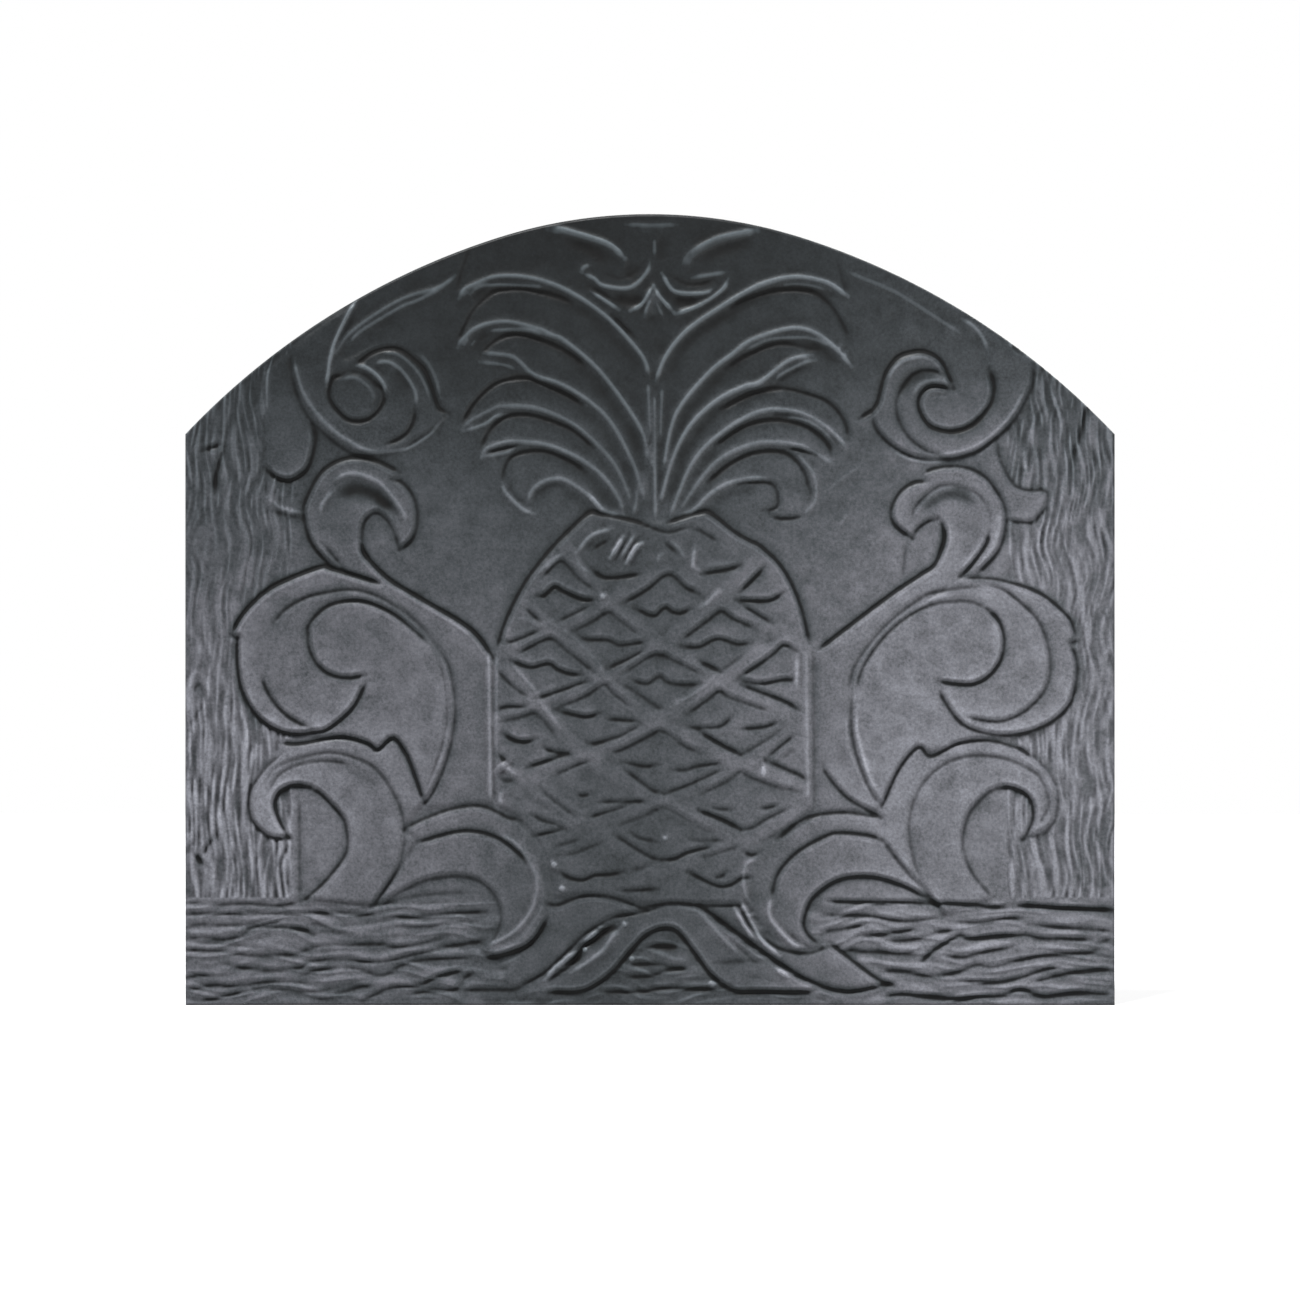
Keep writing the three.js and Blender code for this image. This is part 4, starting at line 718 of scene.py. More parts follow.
BEAD_HEIGHT, BEAD_PLACE, BEAD_WIDTH = 0.13, 3.2, 1.1
CREST_HEIGHT, CREST_UPPER_WIDTH, CREST_LOWER_WIDTH = 0.62, 1.5, 1.9
LEAF_HOLLOW, LEAF_HOLLOW_PLACE, LEAF_HOLLOW_WIDTH = 0.32, 6.2, 3.2
LEAF_SWELL, LEAF_SWELL_PLACE, LEAF_SWELL_WIDTH = 0.12, 1.5, 3.0

# How far to each side the kinds of line reach.
REACH = {"g": 5, "r": 4, "s": 12, "m": 12, "e": 16, "l": 16, "b": 7, "c": 7}
REACH_FADE = 0.35  # the share of the reach over which a line fades out sideways
FORM_RUN_IN = 12.0  # a line's broad form grows over this length from each end
TIP_RUN_IN = 5.0
TIP_STRENGTH = 0.35


def bell(v):
    return np.exp(-(v**2))


def ease(v):
    v = np.clip(v, 0, 1)
    return v * v * (3 - 2 * v)


def step_up(v):
    return 1 / (1 + np.exp(-np.clip(v, -30, 30)))


def lines_of(table):
    """A table's lines as words, with each line that goes on joined to the one before."""
    return [line.split() for line in table.replace("\n    ", " ").strip().splitlines()]


def points_of(words):
    return np.array([[float(v) for v in word.split(",")] for word in words])


def smooth_line(p, step=1.6):
    """Points along a smooth curve through the given ones."""
    if len(p) == 2:
        count = max(2, int(np.hypot(*(p[1] - p[0])) / step))
        return p[0] + (p[1] - p[0]) * np.linspace(0, 1, count)[:, None]
    q = np.vstack([2 * p[0] - p[1], p, 2 * p[-1] - p[-2]])
    out = []
    for a, b, c, d in zip(q, q[1:], q[2:], q[3:]):
        count = max(2, int(np.hypot(*(c - b)) / step))
        t = np.linspace(0, 1, count, endpoint=False)[:, None]
        curve = 2 * b + (c - a) * t + (2 * a - 5 * b + 4 * c - d) * t**2
        out.append((curve + (3 * b - a - 3 * c + d) * t**3) / 2)
    return np.vstack(out + [p[-1:]])


def section(kind, s):
    """The height across a line, as its narrow part and its broad form. s is the distance,
    positive on the higher side."""
    a = np.abs(s)
    none = np.zeros_like(s)
    if kind == "g":
        lip = LIP_HEIGHT * bell((a - LIP_PLACE) / LIP_WIDTH)
        return lip - GROOVE_DEPTH * bell(a / GROOVE_WIDTH), none
    if kind == "r":
        return RIDGE_HEIGHT * bell(a / RIDGE_WIDTH), none
    if kind == "c":
        return BAND_HEIGHT * step_up((BAND_HALF_WIDTH - a) / BAND_SOFTNESS), none
    if kind == "b":
        return none, STRAP_HEIGHT * step_up((STRAP_HALF_WIDTH - a) / STRAP_SOFTNESS)
    if kind in "sm":
        bow = BOW_HEIGHT * bell(a / BOW_WIDTH)
        return none, bow if kind == "m" else -bow
    if kind == "e":
        above, below = np.maximum(s, 0), np.minimum(s, 0)
        rise = EDGE_RISE * np.exp(-above / EDGE_RISE_REACH) * step_up(s / EDGE_SOFTNESS)
        fall = EDGE_FALL * np.exp(below / EDGE_FALL_REACH) * step_up(-s / EDGE_SOFTNESS)
        bead = BEAD_HEIGHT * bell((s - BEAD_PLACE) / BEAD_WIDTH)
        return bead - EDGE_DEPTH * bell((s - EDGE_PLACE) / EDGE_WIDTH), rise - fall
    crest = CREST_HEIGHT * bell(s / np.where(s > 0, CREST_UPPER_WIDTH, CREST_LOWER_WIDTH))
    hollow = LEAF_HOLLOW * bell((s + LEAF_HOLLOW_PLACE) / LEAF_HOLLOW_WIDTH)
    return crest, LEAF_SWELL * bell((s - LEAF_SWELL_PLACE) / LEAF_SWELL_WIDTH) - hollow


class ReliefField:
    """Heights over the plate's face on an even grid of points."""

    PITCH = 0.55
    BORDER = 3  # how far the grid reaches past the plate

    def __init__(self):
        half = PLATE_WIDTH / 2 + self.BORDER
        self.x = np.arange(-half, half, self.PITCH)
        self.z = np.arange(-self.BORDER, PLATE_HEIGHT + self.BORDER, self.PITCH)
        self.height = np.zeros((len(self.z), len(self.x)))
        self.crests = np.zeros_like(self.height)

    def window(self, low, high, margin):
        """The grid's rows and columns that take in a box and a margin round it."""
        columns = np.searchsorted(self.x, [low[0] - margin, high[0] + margin])
        rows = np.searchsorted(self.z, [low[1] - margin, high[1] + margin])
        return slice(*rows), slice(*columns)

    def nearest(self, points, margin):
        """For the grid points near a line: the signed distance, positive on the line's
        left, and how far along the line the nearest place is from its nearer end."""
        p = smooth_line(points)
        steps = np.diff(p, axis=0)
        lengths = np.hypot(steps[:, 0], steps[:, 1])
        run = np.concatenate([[0], np.cumsum(lengths)])
        rows, columns = self.window(p.min(0), p.max(0), margin)
        shape = self.height[rows, columns].shape
        near = np.full(shape, np.inf)
        side = np.ones(shape)
        along = np.zeros(shape)
        for a, b, step, length, start in zip(p, p[1:], steps, lengths, run):
            r, c = self.window(np.minimum(a, b), np.maximum(a, b), margin)
            x = self.x[c][None, :] - a[0]
            z = self.z[r][:, None] - a[1]
            ux, uz = step / max(length, 1e-9)
            t = np.clip(x * ux + z * uz, 0, length)
            d = np.hypot(x - t * ux, z - t * uz)
            here = (
                slice(r.start - rows.start, r.stop - rows.start),
                slice(c.start - columns.start, c.stop - columns.start),
            )
            closer = d < near[here]
            near[here] = np.where(closer, d, near[here])
            side[here] = np.where(closer, np.sign(ux * z - uz * x), side[here])
            along[here] = np.where(closer, start + t, along[here])
        return (rows, columns), near, side, np.minimum(along, run[-1] - along), run[-1]

    def cut(self, kind, strength, left, points):
        """Works a line into the heights. left is 1 where its left side stands higher."""
        reach = REACH[kind]
        place, near, side, end, total = self.nearest(points, reach)
        body = ease(end / min(FORM_RUN_IN, total / 3))
        tip = TIP_STRENGTH + (1 - TIP_STRENGTH) * ease(end / min(TIP_RUN_IN, total / 3))
        share = strength * ease((reach - near) / (reach * REACH_FADE))
        line, form = section(kind, near * side * left)
        self.height[place] += share * (line * tip + form * body)
        self.crests[place] += share * np.maximum(line, 0) * tip

    def inside(self, outline):
        """1 at the grid points inside a closed outline, and 0 at the others."""
        mask = np.zeros(self.height.shape, bool)
        for (xa, za), (xb, zb) in zip(outline, np.roll(outline, -1, 0)):
            if za == zb:
                continue
            rows = slice(*np.searchsorted(self.z, sorted([za, zb])))
            x = xa + (self.z[rows] - za) * (xb - xa) / (zb - za)
            mask[rows] ^= self.x[None, :] > x[:, None]
        return mask.astype(float)

    def softened(self, values, radius, upright=None):
        """The values blurred over a radius in millimetres, upright by its own radius."""
        across = radius / self.PITCH
        up = (upright or radius) / self.PITCH
        pad = int(4 * max(across, up)) + 2
        v = np.pad(values, pad, mode="reflect")
        fz = np.fft.fftfreq(v.shape[0])[:, None]
        fx = np.fft.rfftfreq(v.shape[1])[None, :]
        blur = np.exp(-2 * np.pi**2 * ((up * fz) ** 2 + (across * fx) ** 2))
        return np.fft.irfft2(np.fft.rfft2(v) * blur, v.shape)[pad:-pad, pad:-pad]

    def streaks(self, seed, across, upright, bend):
        """Seeded streaks with an even spread of 1, drawn out one way and bent by up to
        about bend millimetres the other way."""
        coarser, drift_radius = 2.4, 9
        random = np.random.default_rng(seed)
        noise = random.standard_normal(self.height.shape)
        streaks = self.softened(noise, across, upright)
        streaks -= self.softened(noise, across * coarser, upright * coarser)
        drift = self.softened(random.standard_normal(self.height.shape), drift_radius)
        drift *= bend / drift.std()
        x, z = np.meshgrid(self.x, self.z)
        if upright > across:
            streaks = self.sample(streaks, x + drift, z)
        else:
            streaks = self.sample(streaks, x, z + drift)
        return streaks / streaks.std()

    def sample(self, values, x, z):
        """The values at any places, blended between the grid's points."""
        last = 1.001  # keeps the lower neighbour off the last row and column
        i = np.clip((x - self.x[0]) / self.PITCH, 0, len(self.x) - last)
        j = np.clip((z - self.z[0]) / self.PITCH, 0, len(self.z) - last)
        i0, j0 = i.astype(int), j.astype(int)
        u, v = i - i0, j - j0
        low = values[j0, i0] * (1 - u) + values[j0, i0 + 1] * u
        high = values[j0 + 1, i0] * (1 - u) + values[j0 + 1, i0 + 1] * u
        return low * (1 - v) + high * v


# ---------------------------------------------------------------- working the relief

FORM_SOFTNESS = 1.3  # a raised form's outline is rounded over this
FORM_SHARE = 0.6  # the share of a form's drawn height by which its whole area stands up
RIM_PAINTED_SHADE = 0.08  # the share of that height that the tones take as painted shade at the foot of its rims and painted highlight just inside them
GRAIN_FROM = 195  # the upright grain fills the sides from this far out
GRAIN_EDGE, GROUND_EDGE = 3, 2  # the widths over which it and the ground's grain set in
GRAIN_ENDS_AT = 0.8  # the grain has run out where a form is drawn this high
# How deep the upright grain is at these heights, at the left and at the right.
GRAIN_HEIGHTS = (80, 115, 147, 180, 212, 245, 278, 311)
LEFT_GRAIN = (0.5, 0.54, 0.46, 0.33, 0.27, 0.25, 0.3, 0.34)
RIGHT_GRAIN = (0.38, 0.36, 0.36, 0.29, 0.33, 0.37, 0.43, 0.42)
LYING_GRAIN = 0.21  # how deep the ground band's grain is
UNEVEN_SKIN, ROLLING_SKIN = 0.022, 0.05  # how deep the casting's fine and wide waves are
# Streaks by their seed, their width, their height and how far they bend. The bark is laid
# from three of them, each with its share.
BARK = (
    (0.6, (21, 0.62, 7.5, 1.6)),
    (0.42, (22, 1.1, 14.0, 2.0)),
    (0.32, (23, 0.6, 4.0, 1.6)),
)
LYING_STREAKS = (24, 7.0, 0.9, 2.0)
UNEVEN_WAVES, ROLLING_WAVES = (11, 0.75, 0.75, 0.5), (12, 3.0, 3.0, 1.0)
# The tones take relief up to the first size as fine, and from there to the last as broad.
# Upright lines catch less of the light from above, so the fine tones take less of them.
FINE_SIZE, FINE_UPRIGHT_SIZE, BROAD_SIZE = 1.5, 3.0, 7.0


def raised_forms(field):
    """The level of the leaves, scrolls and fruit over the plate's face."""
    forms = []
    for first, *rest in lines_of(RAISED_FORMS):
        if "," in first:
            forms[-1][1].append(smooth_line(points_of([first, *rest]))[:-1])
        else:
            forms.append((float(rest[0]), []))
    level = np.zeros_like(field.height)
    for height, runs in forms:
        soft = field.softened(field.inside(np.vstack(runs)), FORM_SOFTNESS)
        level = np.maximum(level, height * soft)
    return level


def surface_grain(field):
    """Upright bark-like grain at both sides, and a finer lying grain on the ground band."""
    x, z = np.meshgrid(np.abs(field.x), field.z)
    sides = ease((x - GRAIN_FROM) / GRAIN_EDGE + 0.5) * ease((z - GROUND_TOP) / GROUND_EDGE)
    bark = np.tanh(sum(share * field.streaks(*streaks) for share, streaks in BARK))
    left, right = (np.interp(z, GRAIN_HEIGHTS, gain) for gain in (LEFT_GRAIN, RIGHT_GRAIN))
    bark *= np.where(field.x < 0, left, right)
    lying = np.tanh(field.streaks(*LYING_STREAKS))
    ground = ease((GROUND_TOP - z) / GROUND_EDGE)
    return bark * sides + LYING_GRAIN * lying * ground


def worked_relief():
    """The relief's heights, and the fine and broad relief that the iron's tones follow: its
    wear and soot, and its painted highlights and shade.
    """
    field = ReliefField()
    level = raised_forms(field)
    for table in RELIEF:
        for kind, strength, higher, *words in lines_of(table):
            left = -1 if higher == "R" else 1
            field.cut(kind, float(strength), left, points_of(words))
    grain = surface_grain(field) * (1 - ease(level / GRAIN_ENDS_AT))
    field.height += grain
    field.height += UNEVEN_SKIN * field.streaks(*UNEVEN_WAVES)
    field.height += ROLLING_SKIN * field.streaks(*ROLLING_WAVES)
    # Painted shade at the foot of the raised forms' rims, and painted highlight just inside
    # them.
    lines = field.height + RIM_PAINTED_SHADE * level
    crests = field.crests + grain
    fine = np.minimum(lines - field.softened(lines, FINE_SIZE, FINE_UPRIGHT_SIZE), 0)
    fine += np.maximum(crests - field.softened(crests, FINE_SIZE, FINE_UPRIGHT_SIZE), 0)
    broad = field.softened(lines, FINE_SIZE) - field.softened(lines, BROAD_SIZE)
    field.height += FORM_SHARE * level
    return field, {"fine_relief": fine, "broad_relief": broad}


# ---------------------------------------------------------------- meshes


def placed(name, data):
    """A new object in the scene that holds a mesh, a lamp or a camera."""
    thing = bpy.data.objects.new(name, data)
    bpy.context.scene.collection.objects.link(thing)
    return thing


def arch_top(x):
    """The height of the plate's outline at x: the crown's arc, then the flanks'."""
    turn = math.radians(CROWN_HALF_ANGLE)
    crown_z = PLATE_HEIGHT - CROWN_RADIUS
    flank_x = (CROWN_RADIUS - FLANK_RADIUS) * math.sin(turn)
    flank_z = crown_z + (CROWN_RADIUS - FLANK_RADIUS) * math.cos(turn)
    a = np.abs(x)
    crown = crown_z + np.sqrt(np.maximum(CROWN_RADIUS**2 - a**2, 0))
    flank = flank_z + np.sqrt(np.maximum(FLANK_RADIUS**2 - (a - flank_x) ** 2, 0))
    return np.where(a < CROWN_RADIUS * math.sin(turn), crown, flank)


def worked_front(field):
    """The front's points in rows of x, y and z, with its edge dressed back all round."""
    arch_lean = 0.8  # the slanting arch is nearer than the height up to it by this share
    half = PLATE_WIDTH / 2
    x = np.broadcast_to(np.linspace(-1, 1, FRONT_COLUMNS) * half, (FRONT_ROWS, FRONT_COLUMNS))
    top = arch_top(x)
    z = np.linspace(0, 1, FRONT_ROWS)[:, None] * top
    edge = np.minimum(np.minimum(half - np.abs(x), z), (top - z) * arch_lean)
    lift = np.clip(
        field.sample(field.height, x, z), -FRONT_DROP, RELIEF_HEIGHT - RELIEF_CLEARANCE
    )
    drop = FRONT_DROP * (1 - ease(edge / FRONT_DROP_WIDTH)) ** 2
    return x, FACE_Y - (lift * ease(edge / RELIEF_FADE) - drop), z


def side_walls(outline):
    """The front's outline carried back along the side wall and round the back's edge."""
    centre = np.array([0, 0, PLATE_HEIGHT * 0.45])  # the back's rounding turns in to here
    for y, inset in (
        (FACE_Y + WALL_START, 0),
        (BACK_Y - BACK_ROUNDING, 0),
        (BACK_Y - BACK_ROUNDING_MIDDLE, BACK_ROUNDING_MIDDLE),
        (BACK_Y, BACK_ROUNDING),
    ):
        ring = outline.copy()
        ring[:, 1] = y
        inward = centre - ring
        inward[:, 1] = 0
        inward /= np.linalg.norm(inward, axis=1)[:, None]
        yield ring + inward * inset


def casting_mesh(material):
    """The whole plate: the worked front, its dressed edge, the side walls and the back."""
    field, tones = worked_relief()
    x, y, z = worked_front(field)
    front = np.stack([x, y, z], axis=2).reshape(-1, 3)
    index = np.arange(len(front)).reshape(x.shape)
    ring = np.concatenate(
        [index[0, :-1], index[:-1, -1], index[-1, :0:-1], index[:0:-1, 0]]
    )
    corners = (index[:-1, :-1], index[:-1, 1:], index[1:, 1:], index[1:, :-1])
    faces = [np.stack([corner.ravel() for corner in corners], axis=1)]
    rings, points, count = [ring], [front], len(front)
    for wall in side_walls(front[ring]):
        rings.append(count + np.arange(len(wall)))
        points.append(wall)
        count += len(wall)
    for near, far in zip(rings, rings[1:]):
        faces.append(np.stack([near, far, np.roll(far, -1), np.roll(near, -1)], axis=1))
    points = np.vstack(points) * MM
    quads = np.vstack(faces)
    back = rings[-1][::-1]

    mesh = bpy.data.meshes.new("fireback_casting")
    mesh.vertices.add(len(points))
    mesh.vertices.foreach_set("co", points.astype(np.float32).ravel())
    loops = np.concatenate([quads.ravel(), back])
    mesh.loops.add(len(loops))
    mesh.loops.foreach_set("vertex_index", loops.astype(np.int32))
    starts = np.arange(len(quads) + 1) * 4
    mesh.polygons.add(len(starts))
    mesh.polygons.foreach_set("loop_start", starts.astype(np.int32))
    mesh.update(calc_edges=True)
    for name, values in tones.items():
        data = np.zeros(len(points), np.float32)
        data[: x.size] = field.sample(values, x, z).ravel()
        mesh.attributes.new(name, "FLOAT", "POINT").data.foreach_set("value", data)
    smooth = np.ones(len(mesh.polygons), bool)
    smooth[-1] = False  # the back is flat
    mesh.polygons.foreach_set("use_smooth", smooth)
    mesh.materials.append(material)
    mesh.validate()
    return placed("fireback_casting", mesh)


def turned_piece(name, profile, centre, material, sides=48):
    """A closed turned form round an axis along Y. profile is (radius, y) from end to end,
    and centre is the axis's x and height."""
    vertices, faces = [], []
    for radius, y in profile:
        for k in range(sides):
            angle = 2 * math.pi * k / sides
            x = centre[0] + radius * math.cos(angle)
            z = centre[1] + radius * math.sin(angle)
            vertices.append((x * MM, y * MM, z * MM))
    for row in range(len(profile) - 1):
        for k in range(sides):
            a, b = row * sides + k, row * sides + (k + 1) % sides
            faces.append((a, b, b + sides, a + sides))
    faces.append(tuple(range(sides))[::-1])
    last = (len(profile) - 1) * sides
    faces.append(tuple(range(last, last + sides)))
    mesh = bpy.data.meshes.new(name)
    mesh.from_pydata(vertices, [], faces)
    mesh.update()
    mesh.materials.append(material)
    for polygon in mesh.polygons:
        polygon.use_smooth = len(polygon.vertices) == 4
    return placed(name, mesh)


def rear_boss(x, material):
    foot = [(BOSS_RADIUS + out, BACK_Y + up) for out, up in BOSS_FOOT]
    rim = [(BOSS_RADIUS + out, BACK_Y + BOSS_HEIGHT + up) for out, up in BOSS_RIM]
    return turned_piece("rear_boss", foot + rim, (x, BOLT_HEIGHT), material)


def rounded_copy(node, name, width, material):
    """The CAD node's form with its edges rounded as in the real piece."""
    flat, sharp = math.radians(2), math.radians(35)  # faces that are one, and edges to round
    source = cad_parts[node]
    work = bmesh.new()
    work.from_mesh(source.data)
    bmesh.ops.remove_doubles(work, verts=work.verts, dist=1e-6)
    bmesh.ops.dissolve_limit(work, angle_limit=flat, verts=work.verts, edges=work.edges)
    mesh = bpy.data.meshes.new(name)
    work.to_mesh(mesh)
    work.free()
    mesh.materials.append(material)
    for polygon in mesh.polygons:
        polygon.use_smooth = True
    piece = placed(name, mesh)
    piece.matrix_world = source.matrix_world
    bevel = piece.modifiers.new("rounded edges", "BEVEL")
    bevel.width = width * MM
    bevel.segments = 3
    bevel.limit_method = "ANGLE"
    bevel.angle_limit = sharp
    bevel.harden_normals = True
    return piece


def joined(pieces, name):
    """The pieces made into one."""
    for piece in bpy.context.selected_objects:
        piece.select_set(False)
    for piece in pieces:
        piece.select_set(True)
    bpy.context.view_layer.objects.active = pieces[0]
    with bpy.context.temp_override(
        active_object=pieces[0], selected_editable_objects=pieces, selected_objects=pieces
    ):
        bpy.ops.object.join()
    pieces[0].name = name
    return pieces[0]


# ---------------------------------------------------------------- shader maths


class Shade:
    """A socket of a shader, on which sums can be written."""

    def __init__(self, paint, socket):
        self.paint = paint
        self.socket = socket

    def output(self, name):
        """Another output of the same node."""
        return Shade(self.paint, self.socket.node.outputs[name])

    def _math(self, operation, first, second, clamp=False):
        settings = {"operation": operation, "use_clamp": clamp}
        return self.paint.node("ShaderNodeMath", settings, {0: first, 1: second})

    def __add__(self, other):
        return self._math("ADD", self, other)

    def __radd__(self, other):
        return self._math("ADD", other, self)

    def __sub__(self, other):
        return self._math("SUBTRACT", self, other)

    def __rsub__(self, other):
        return self._math("SUBTRACT", other, self)

    def __mul__(self, other):
        return self._math("MULTIPLY", self, other)

    def clamped(self):
        return self._math("ADD", self, 0.0, clamp=True)


class Paint:
    """The nodes of a material or of the world."""

    def __init__(self, owner, output="ShaderNodeOutputMaterial"):
        self.owner = owner
        owner.use_nodes = True
        self.tree = owner.node_tree
        self.tree.nodes.clear()
        self.surface = self.tree.nodes.new(output).inputs["Surface"]

    def node(self, kind, settings=None, inputs=None):
        """A new node's first output. Settings are set first, then values or links."""
        node = self.tree.nodes.new(kind)
        for key, value in (settings or {}).items():
            if key == "stops":
                self._stops(node.color_ramp, value)
            else:
                setattr(node, key, value)
        for key, value in (inputs or {}).items():
            if isinstance(value, Shade):
                self.tree.links.new(value.socket, node.inputs[key])
            else:
                node.inputs[key].default_value = value
        return Shade(self, node.outputs[0])

    def _stops(self, ramp, stops):
        while len(ramp.elements) < len(stops):
            ramp.elements.new(0.5)
        for element, (position, value) in zip(ramp.elements, stops):
            element.position = position
            element.color = (value, value, value, 1)

    def place(self):
        return self.node("ShaderNodeTexCoord").output("Object")

    def ramp(self, value, stops):
        return self.node("ShaderNodeValToRGB", {"stops": stops}, {0: value})

    def noise(self, scale, detail, roughness, stretch=None):
        """A cloudy texture over the piece, its scale in clouds to the metre."""
        place = self.place()
        if stretch:
            place = self.node("ShaderNodeMapping", {}, {0: place, "Scale": stretch})
        inputs = {"Vector": place, "Scale": scale, "Detail": detail, "Roughness": roughness}
        return self.node("ShaderNodeTexNoise", {}, inputs)

    def mixed(self, factor, a, b):
        """A colour between a and b."""
        inputs = {0: factor, 6: a, 7: b}
        return self.node("ShaderNodeMix", {"data_type": "RGBA"}, inputs).output(2)

    def bumps(self, *layers):
        """A normal from textures laid over each other, each with its depth and strength."""
        inputs = {}
        for height, depth, strength in layers:
            inputs.update({"Height": height, "Distance": depth, "Strength": strength})
            inputs["Normal"] = self.node("ShaderNodeBump", {}, inputs)
        return inputs["Normal"]

    def shown(self, shader):
        """The material or world, with the shader on its surface."""
        self.tree.links.new(shader.socket, self.surface)
        return self.owner

    def finish(self, inputs):
        return self.shown(self.node("ShaderNodeBsdfPrincipled", {}, inputs))


def swing(noise, amount):
    """How far a noise stands off its middle, to darken as much as it lightens."""
    return (noise - 0.5) * amount


# ---------------------------------------------------------------- finishes

# Painted reflection and shade over the plate, at places from 0 to 1: how light it is by
# height, and how much lighter or darker across the width low down and high up.
PAINTED_LIGHT_BY_HEIGHT = (
    (0.0, 0.067), (0.12, 0.08), (0.3, 0.104), (0.4, 0.104),
    (0.55, 0.074), (0.68, 0.042), (0.8, 0.0185), (1.0, 0.0095),
)
PAINTED_LIGHT_LOW_ACROSS = (
    (0.0, 1.36), (0.15, 1.22), (0.3, 0.98), (0.42, 0.6), (0.5, 0.55),
    (0.6, 0.8), (0.78, 1.54), (0.9, 1.46), (1.0, 1.14),
)
PAINTED_LIGHT_HIGH_ACROSS = (
    (0.0, 1.25), (0.15, 1.25), (0.25, 0.9), (0.42, 0.8), (0.5, 0.97),
    (0.58, 1.0), (0.69, 1.55), (0.85, 2.4), (1.0, 2.1),
)
HIGH_SHARE = ((0.45, 0.0), (0.85, 1.0))  # by height, from the low tones to the high ones
# Painted light and shade on the left side: how much lighter or darker it is by height, and
# how far in that reaches.
PAINTED_LIGHT_LEFT = (
    (0.0, 1.02), (0.1, 1.06), (0.2, 1.2), (0.27, 1.12),
    (0.36, 1.0), (0.47, 0.83), (0.6, 0.85), (0.72, 1.0),
)
PAINTED_LIGHT_LEFT_REACH = ((0.0, 1.0), (0.1, 1.0), (0.3, 0.25), (0.45, 0.0))

CLOUD_SWING, MOTTLE_SWING, SPECK_SWING = 0.8, 1.25, 1.4
BROAD_PAINTED_SHADE = 1.3  # painted highlight on swellings and painted shade in hollows, per millimetre
# Wear and painted highlight on raised crests: where it sets in, how fast, how much it lifts the
# tone and the light it adds.
HIGHLIGHT_AND_WEAR_FROM, HIGHLIGHT_AND_WEAR_GAIN, HIGHLIGHT_AND_WEAR_LIFT, HIGHLIGHT_AND_WEAR_LIGHT = 0.03, 2.6, 0.5, 0.085
# Soot and painted shade in the cuts: where it sets in, how fast and how deep it darkens.
SOOT_AND_SHADE_FROM, SOOT_AND_SHADE_GAIN, SOOT_AND_SHADE_DEPTH = 0.05, 2.3, 0.9
DARK_TINT, LIGHT_TINT, TINT_GAIN = (0.82, 0.99, 1.08, 1), (0.975, 1.0, 1.13, 1), 9.0
BLACK = (0, 0, 0, 1)


def plate_iron():
    """Satin black casting, bluish grey where lighter: wear and a painted highlight on raised
    crests, soot and painted shade in the cuts, and painted reflection and shade that leave it
    blackest over the middle and the top."""
    p = Paint(bpy.data.materials.new("satin_cast_iron"))
    fine = p.node("ShaderNodeAttribute", {"attribute_name": "fine_relief"}).output("Fac")
    broad = p.node("ShaderNodeAttribute", {"attribute_name": "broad_relief"}).output("Fac")
    cloud = p.noise(14, 4, 0.6)
    mottle = p.noise(90, 5, 0.7)
    speck = p.noise(620, 3, 0.65)
    grain = p.noise(900, 3, 0.6)
    sand = p.noise(2400, 2, 0.6)
    parts = p.node("ShaderNodeSeparateXYZ", {}, {0: p.place()})
    across = parts.output("X") * (1 / (PLATE_WIDTH * MM)) + 0.5
    up = parts.output("Z") * (1 / (PLATE_HEIGHT * MM))
    # Painted reflection and shade: the plate lighter or darker by height and across its width.
    high = p.ramp(up, HIGH_SHARE)
    across_painted_light = p.ramp(across, PAINTED_LIGHT_LOW_ACROSS) * (1.0 - high)
    across_painted_light = across_painted_light + p.ramp(across, PAINTED_LIGHT_HIGH_ACROSS) * high
    left_painted_light = (p.ramp(up, PAINTED_LIGHT_LEFT) - 1.0) * p.ramp(across, PAINTED_LIGHT_LEFT_REACH)
    tone = p.ramp(up, PAINTED_LIGHT_BY_HEIGHT) * across_painted_light * (1.0 + left_painted_light)
    skin = 1.0 + swing(cloud, CLOUD_SWING) + swing(mottle, MOTTLE_SWING)
    # Painted shade in broad hollows and painted highlight on swellings, over the skin's random
    # mottling.
    tone = tone * (1.0 + broad * BROAD_PAINTED_SHADE) * (skin + swing(speck, SPECK_SWING))
    # Wear and a painted highlight on the raised crests.
    rubbed_and_highlit = ((fine - HIGHLIGHT_AND_WEAR_FROM) * HIGHLIGHT_AND_WEAR_GAIN).clamped()
    # Soot and painted shade in the cuts.
    soot_and_shade = (0.0 - fine * SOOT_AND_SHADE_GAIN - SOOT_AND_SHADE_FROM).clamped()
    level = tone * (1.0 + rubbed_and_highlit * HIGHLIGHT_AND_WEAR_LIFT) * (1.0 - soot_and_shade * SOOT_AND_SHADE_DEPTH)
    level = (level + rubbed_and_highlit * HIGHLIGHT_AND_WEAR_LIGHT).clamped()
    tint = p.mixed((tone * TINT_GAIN).clamped(), DARK_TINT, LIGHT_TINT)
    rough = 0.47 - rubbed_and_highlit * 0.08 + swing(mottle, 0.2) + soot_and_shade * 0.3
    return p.finish(
        {
            "Base Color": p.mixed(level, BLACK, tint),
            "Roughness": rough.clamped(),
            "Metallic": 0.0,
            "Specular IOR Level": 0.16,
            "Normal": p.bumps(
                (mottle, 0.0005, 0.6),
                (speck, 0.00018, 0.7),
                (grain, 0.00012, 0.7),
                (sand, 0.00005, 0.5),
            ),
        }
    )


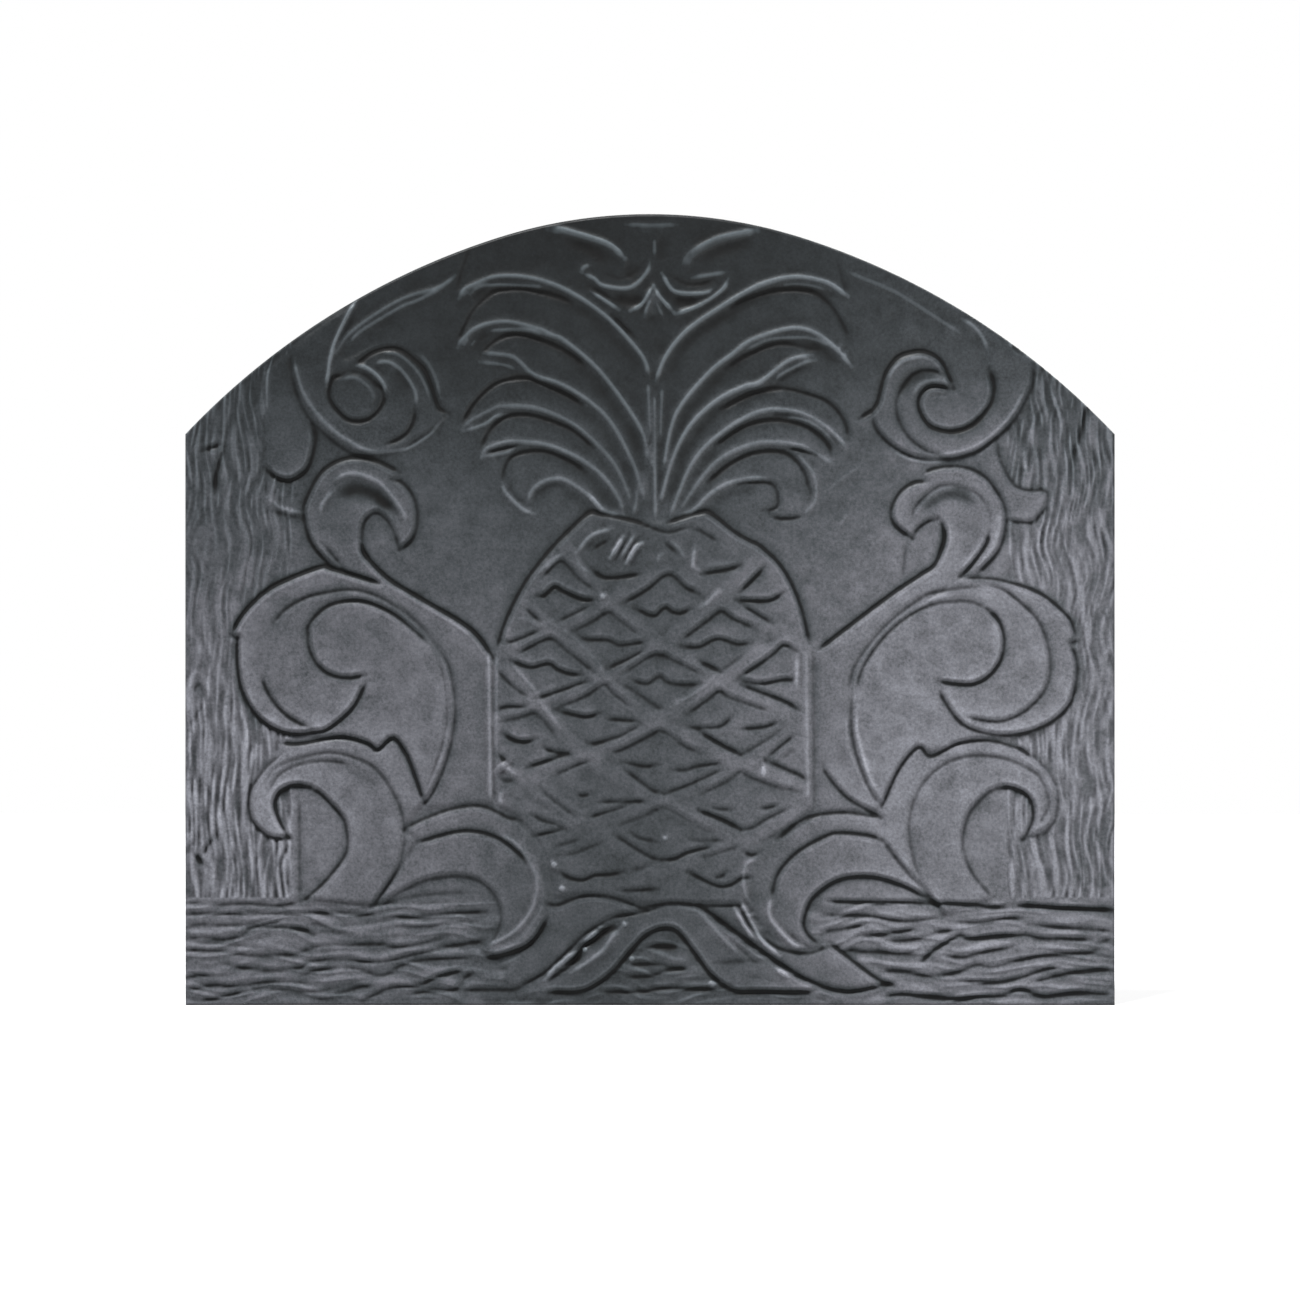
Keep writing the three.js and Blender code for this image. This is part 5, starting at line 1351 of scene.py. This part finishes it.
def leg_iron():
    """Matt grey-black casting with pits and a breath of rust."""
    p = Paint(bpy.data.materials.new("matt_cast_iron"))
    cloud = p.noise(30, 4, 0.6)
    grain = p.noise(900, 3, 0.6)
    pit = p.noise(260, 4, 0.7)
    iron = p.mixed(cloud, (0.018, 0.019, 0.021, 1), (0.05, 0.052, 0.057, 1))
    rust = p.ramp(p.noise(55, 5, 0.7), ((0.62, 0.0), (0.74, 1.0)))
    return p.finish(
        {
            "Base Color": p.mixed(rust * 0.35, iron, (0.07, 0.035, 0.02, 1)),
            "Roughness": (0.58 + swing(cloud, 0.25)).clamped(),
            "Metallic": 0.0,
            "Specular IOR Level": 0.4,
            "Normal": p.bumps((pit, 0.0004, 0.6), (grain, 0.00014, 0.8)),
        }
    )


def zinc_steel():
    """Dull zinc with faint scratches."""
    p = Paint(bpy.data.materials.new("dull_zinc_steel"))
    cloud = p.noise(120, 4, 0.6)
    scratch = p.noise(700, 2, 0.5, stretch=(1, 1, 6))
    return p.finish(
        {
            "Base Color": p.mixed(cloud, (0.24, 0.25, 0.27, 1), (0.38, 0.39, 0.41, 1)),
            "Roughness": (0.36 + swing(cloud, 0.3) + swing(scratch, 0.1)).clamped(),
            "Metallic": 1.0,
            "Normal": p.bumps((scratch, 0.00004, 0.5)),
        }
    )


# ---------------------------------------------------------------- the fireback

cast = plate_iron()
leg_finish = leg_iron()
zinc = zinc_steel()

casting = casting_mesh(cast)
bosses = [rear_boss(x, cast) for x in BOLT_XS]
casting = joined([casting] + bosses, "fireback_casting")
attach(casting, "root")
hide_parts("fireback_plate")

for side in ("left", "right"):
    leg = rounded_copy(f"{side}_leg", f"{side}_cast_leg", LEG_ROUNDING, leg_finish)
    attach(leg, "root")
    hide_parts(f"{side}_leg")
    for place in ("outer", "inner"):
        for kind, width in FASTENER_ROUNDING.items():
            node = f"{side}_{place}_{kind}"
            piece = rounded_copy(node, f"{node}_dressed", width, zinc)
            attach(piece, "root")
            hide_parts(node)

# ---------------------------------------------------------------- setting

WORLD_LEVEL = 0.12  # how strongly the white room lights the fireback
FLOOR_GLOW = 0.62
# The camera looks square at the front: 710 mm of the plate's plane fills the frame.
FRAME_WIDTH = 0.710
CAMERA_DISTANCE = 2.2
CAMERA_HEIGHT = 0.1942
SENSOR_WIDTH = 36


def rays_that_show(p):
    """1 for the camera's own rays and for those that gloss and glass show."""
    rays = p.node("ShaderNodeLightPath")
    shown = 0.0
    for ray in ("Is Camera Ray", "Is Glossy Ray", "Is Transmission Ray"):
        pair = {0: shown, 1: rays.output(ray)}
        shown = p.node("ShaderNodeMath", {"operation": "MAXIMUM"}, pair)
    return shown


def white_floor():
    """White to the camera and in gloss, with the object's shadow, and plain grey paper to
    the light that it throws back."""
    p = Paint(bpy.data.materials.new("white_floor"))
    paper = p.node("ShaderNodeBsdfDiffuse", {}, {"Color": (0.25, 0.25, 0.25, 1)})
    bright = p.node("ShaderNodeBsdfDiffuse", {}, {"Color": (0.8, 0.8, 0.8, 1)})
    glow = p.node("ShaderNodeEmission", {}, {"Color": (1, 1, 1, 1), "Strength": FLOOR_GLOW})
    white = p.node("ShaderNodeAddShader", {}, {0: bright, 1: glow})
    return p.shown(
        p.node("ShaderNodeMixShader", {}, {0: rays_that_show(p), 1: paper, 2: white})
    )


def white_room():
    p = Paint(bpy.data.worlds.new("white_room"), "ShaderNodeOutputWorld")
    levels = {"Value": rays_that_show(p), "To Min": WORLD_LEVEL, "To Max": 1.0}
    level = p.node("ShaderNodeMapRange", {}, levels)
    light = {"Color": (1, 1, 1, 1), "Strength": level}
    return p.shown(p.node("ShaderNodeBackground", {}, light))


def lamp(name, place, aim, size, watts):
    data = bpy.data.lights.new(name, "AREA")
    data.shape = "RECTANGLE"
    data.size, data.size_y = size
    data.energy = watts
    light = placed(name, data)
    light.location = place
    light.rotation_euler = (Vector(aim) - Vector(place)).to_track_quat("-Z", "Y").to_euler()


bpy.ops.mesh.primitive_plane_add(size=5, location=(0, 0, 0))
floor = bpy.context.object
floor.name = "studio_floor"
floor.data.materials.append(white_floor())

bpy.context.scene.world = white_room()
lamp("key_above", (-0.6, -0.95, 3.0), aim=(0, -0.06, 0.22), size=(0.8, 0.4), watts=170)
lamp("front_low_right", (0.5, -0.8, 0.08), aim=(0.12, -0.06, 0.12), size=(0.5, 0.4), watts=4.5)
lamp("back_fill", (0.4, 1.9, 1.2), aim=(0, 0, 0.2), size=(1.4, 1.0), watts=26)

camera_data = bpy.data.cameras.new("camera")
camera_data.sensor_width = SENSOR_WIDTH
camera_data.lens = SENSOR_WIDTH * CAMERA_DISTANCE / FRAME_WIDTH
camera = placed("camera", camera_data)
camera.location = (0, FACE_Y * MM - CAMERA_DISTANCE, CAMERA_HEIGHT)
camera.rotation_euler = (math.radians(90), 0, 0)
bpy.context.scene.camera = camera
bpy.context.scene.view_settings.view_transform = "Standard"
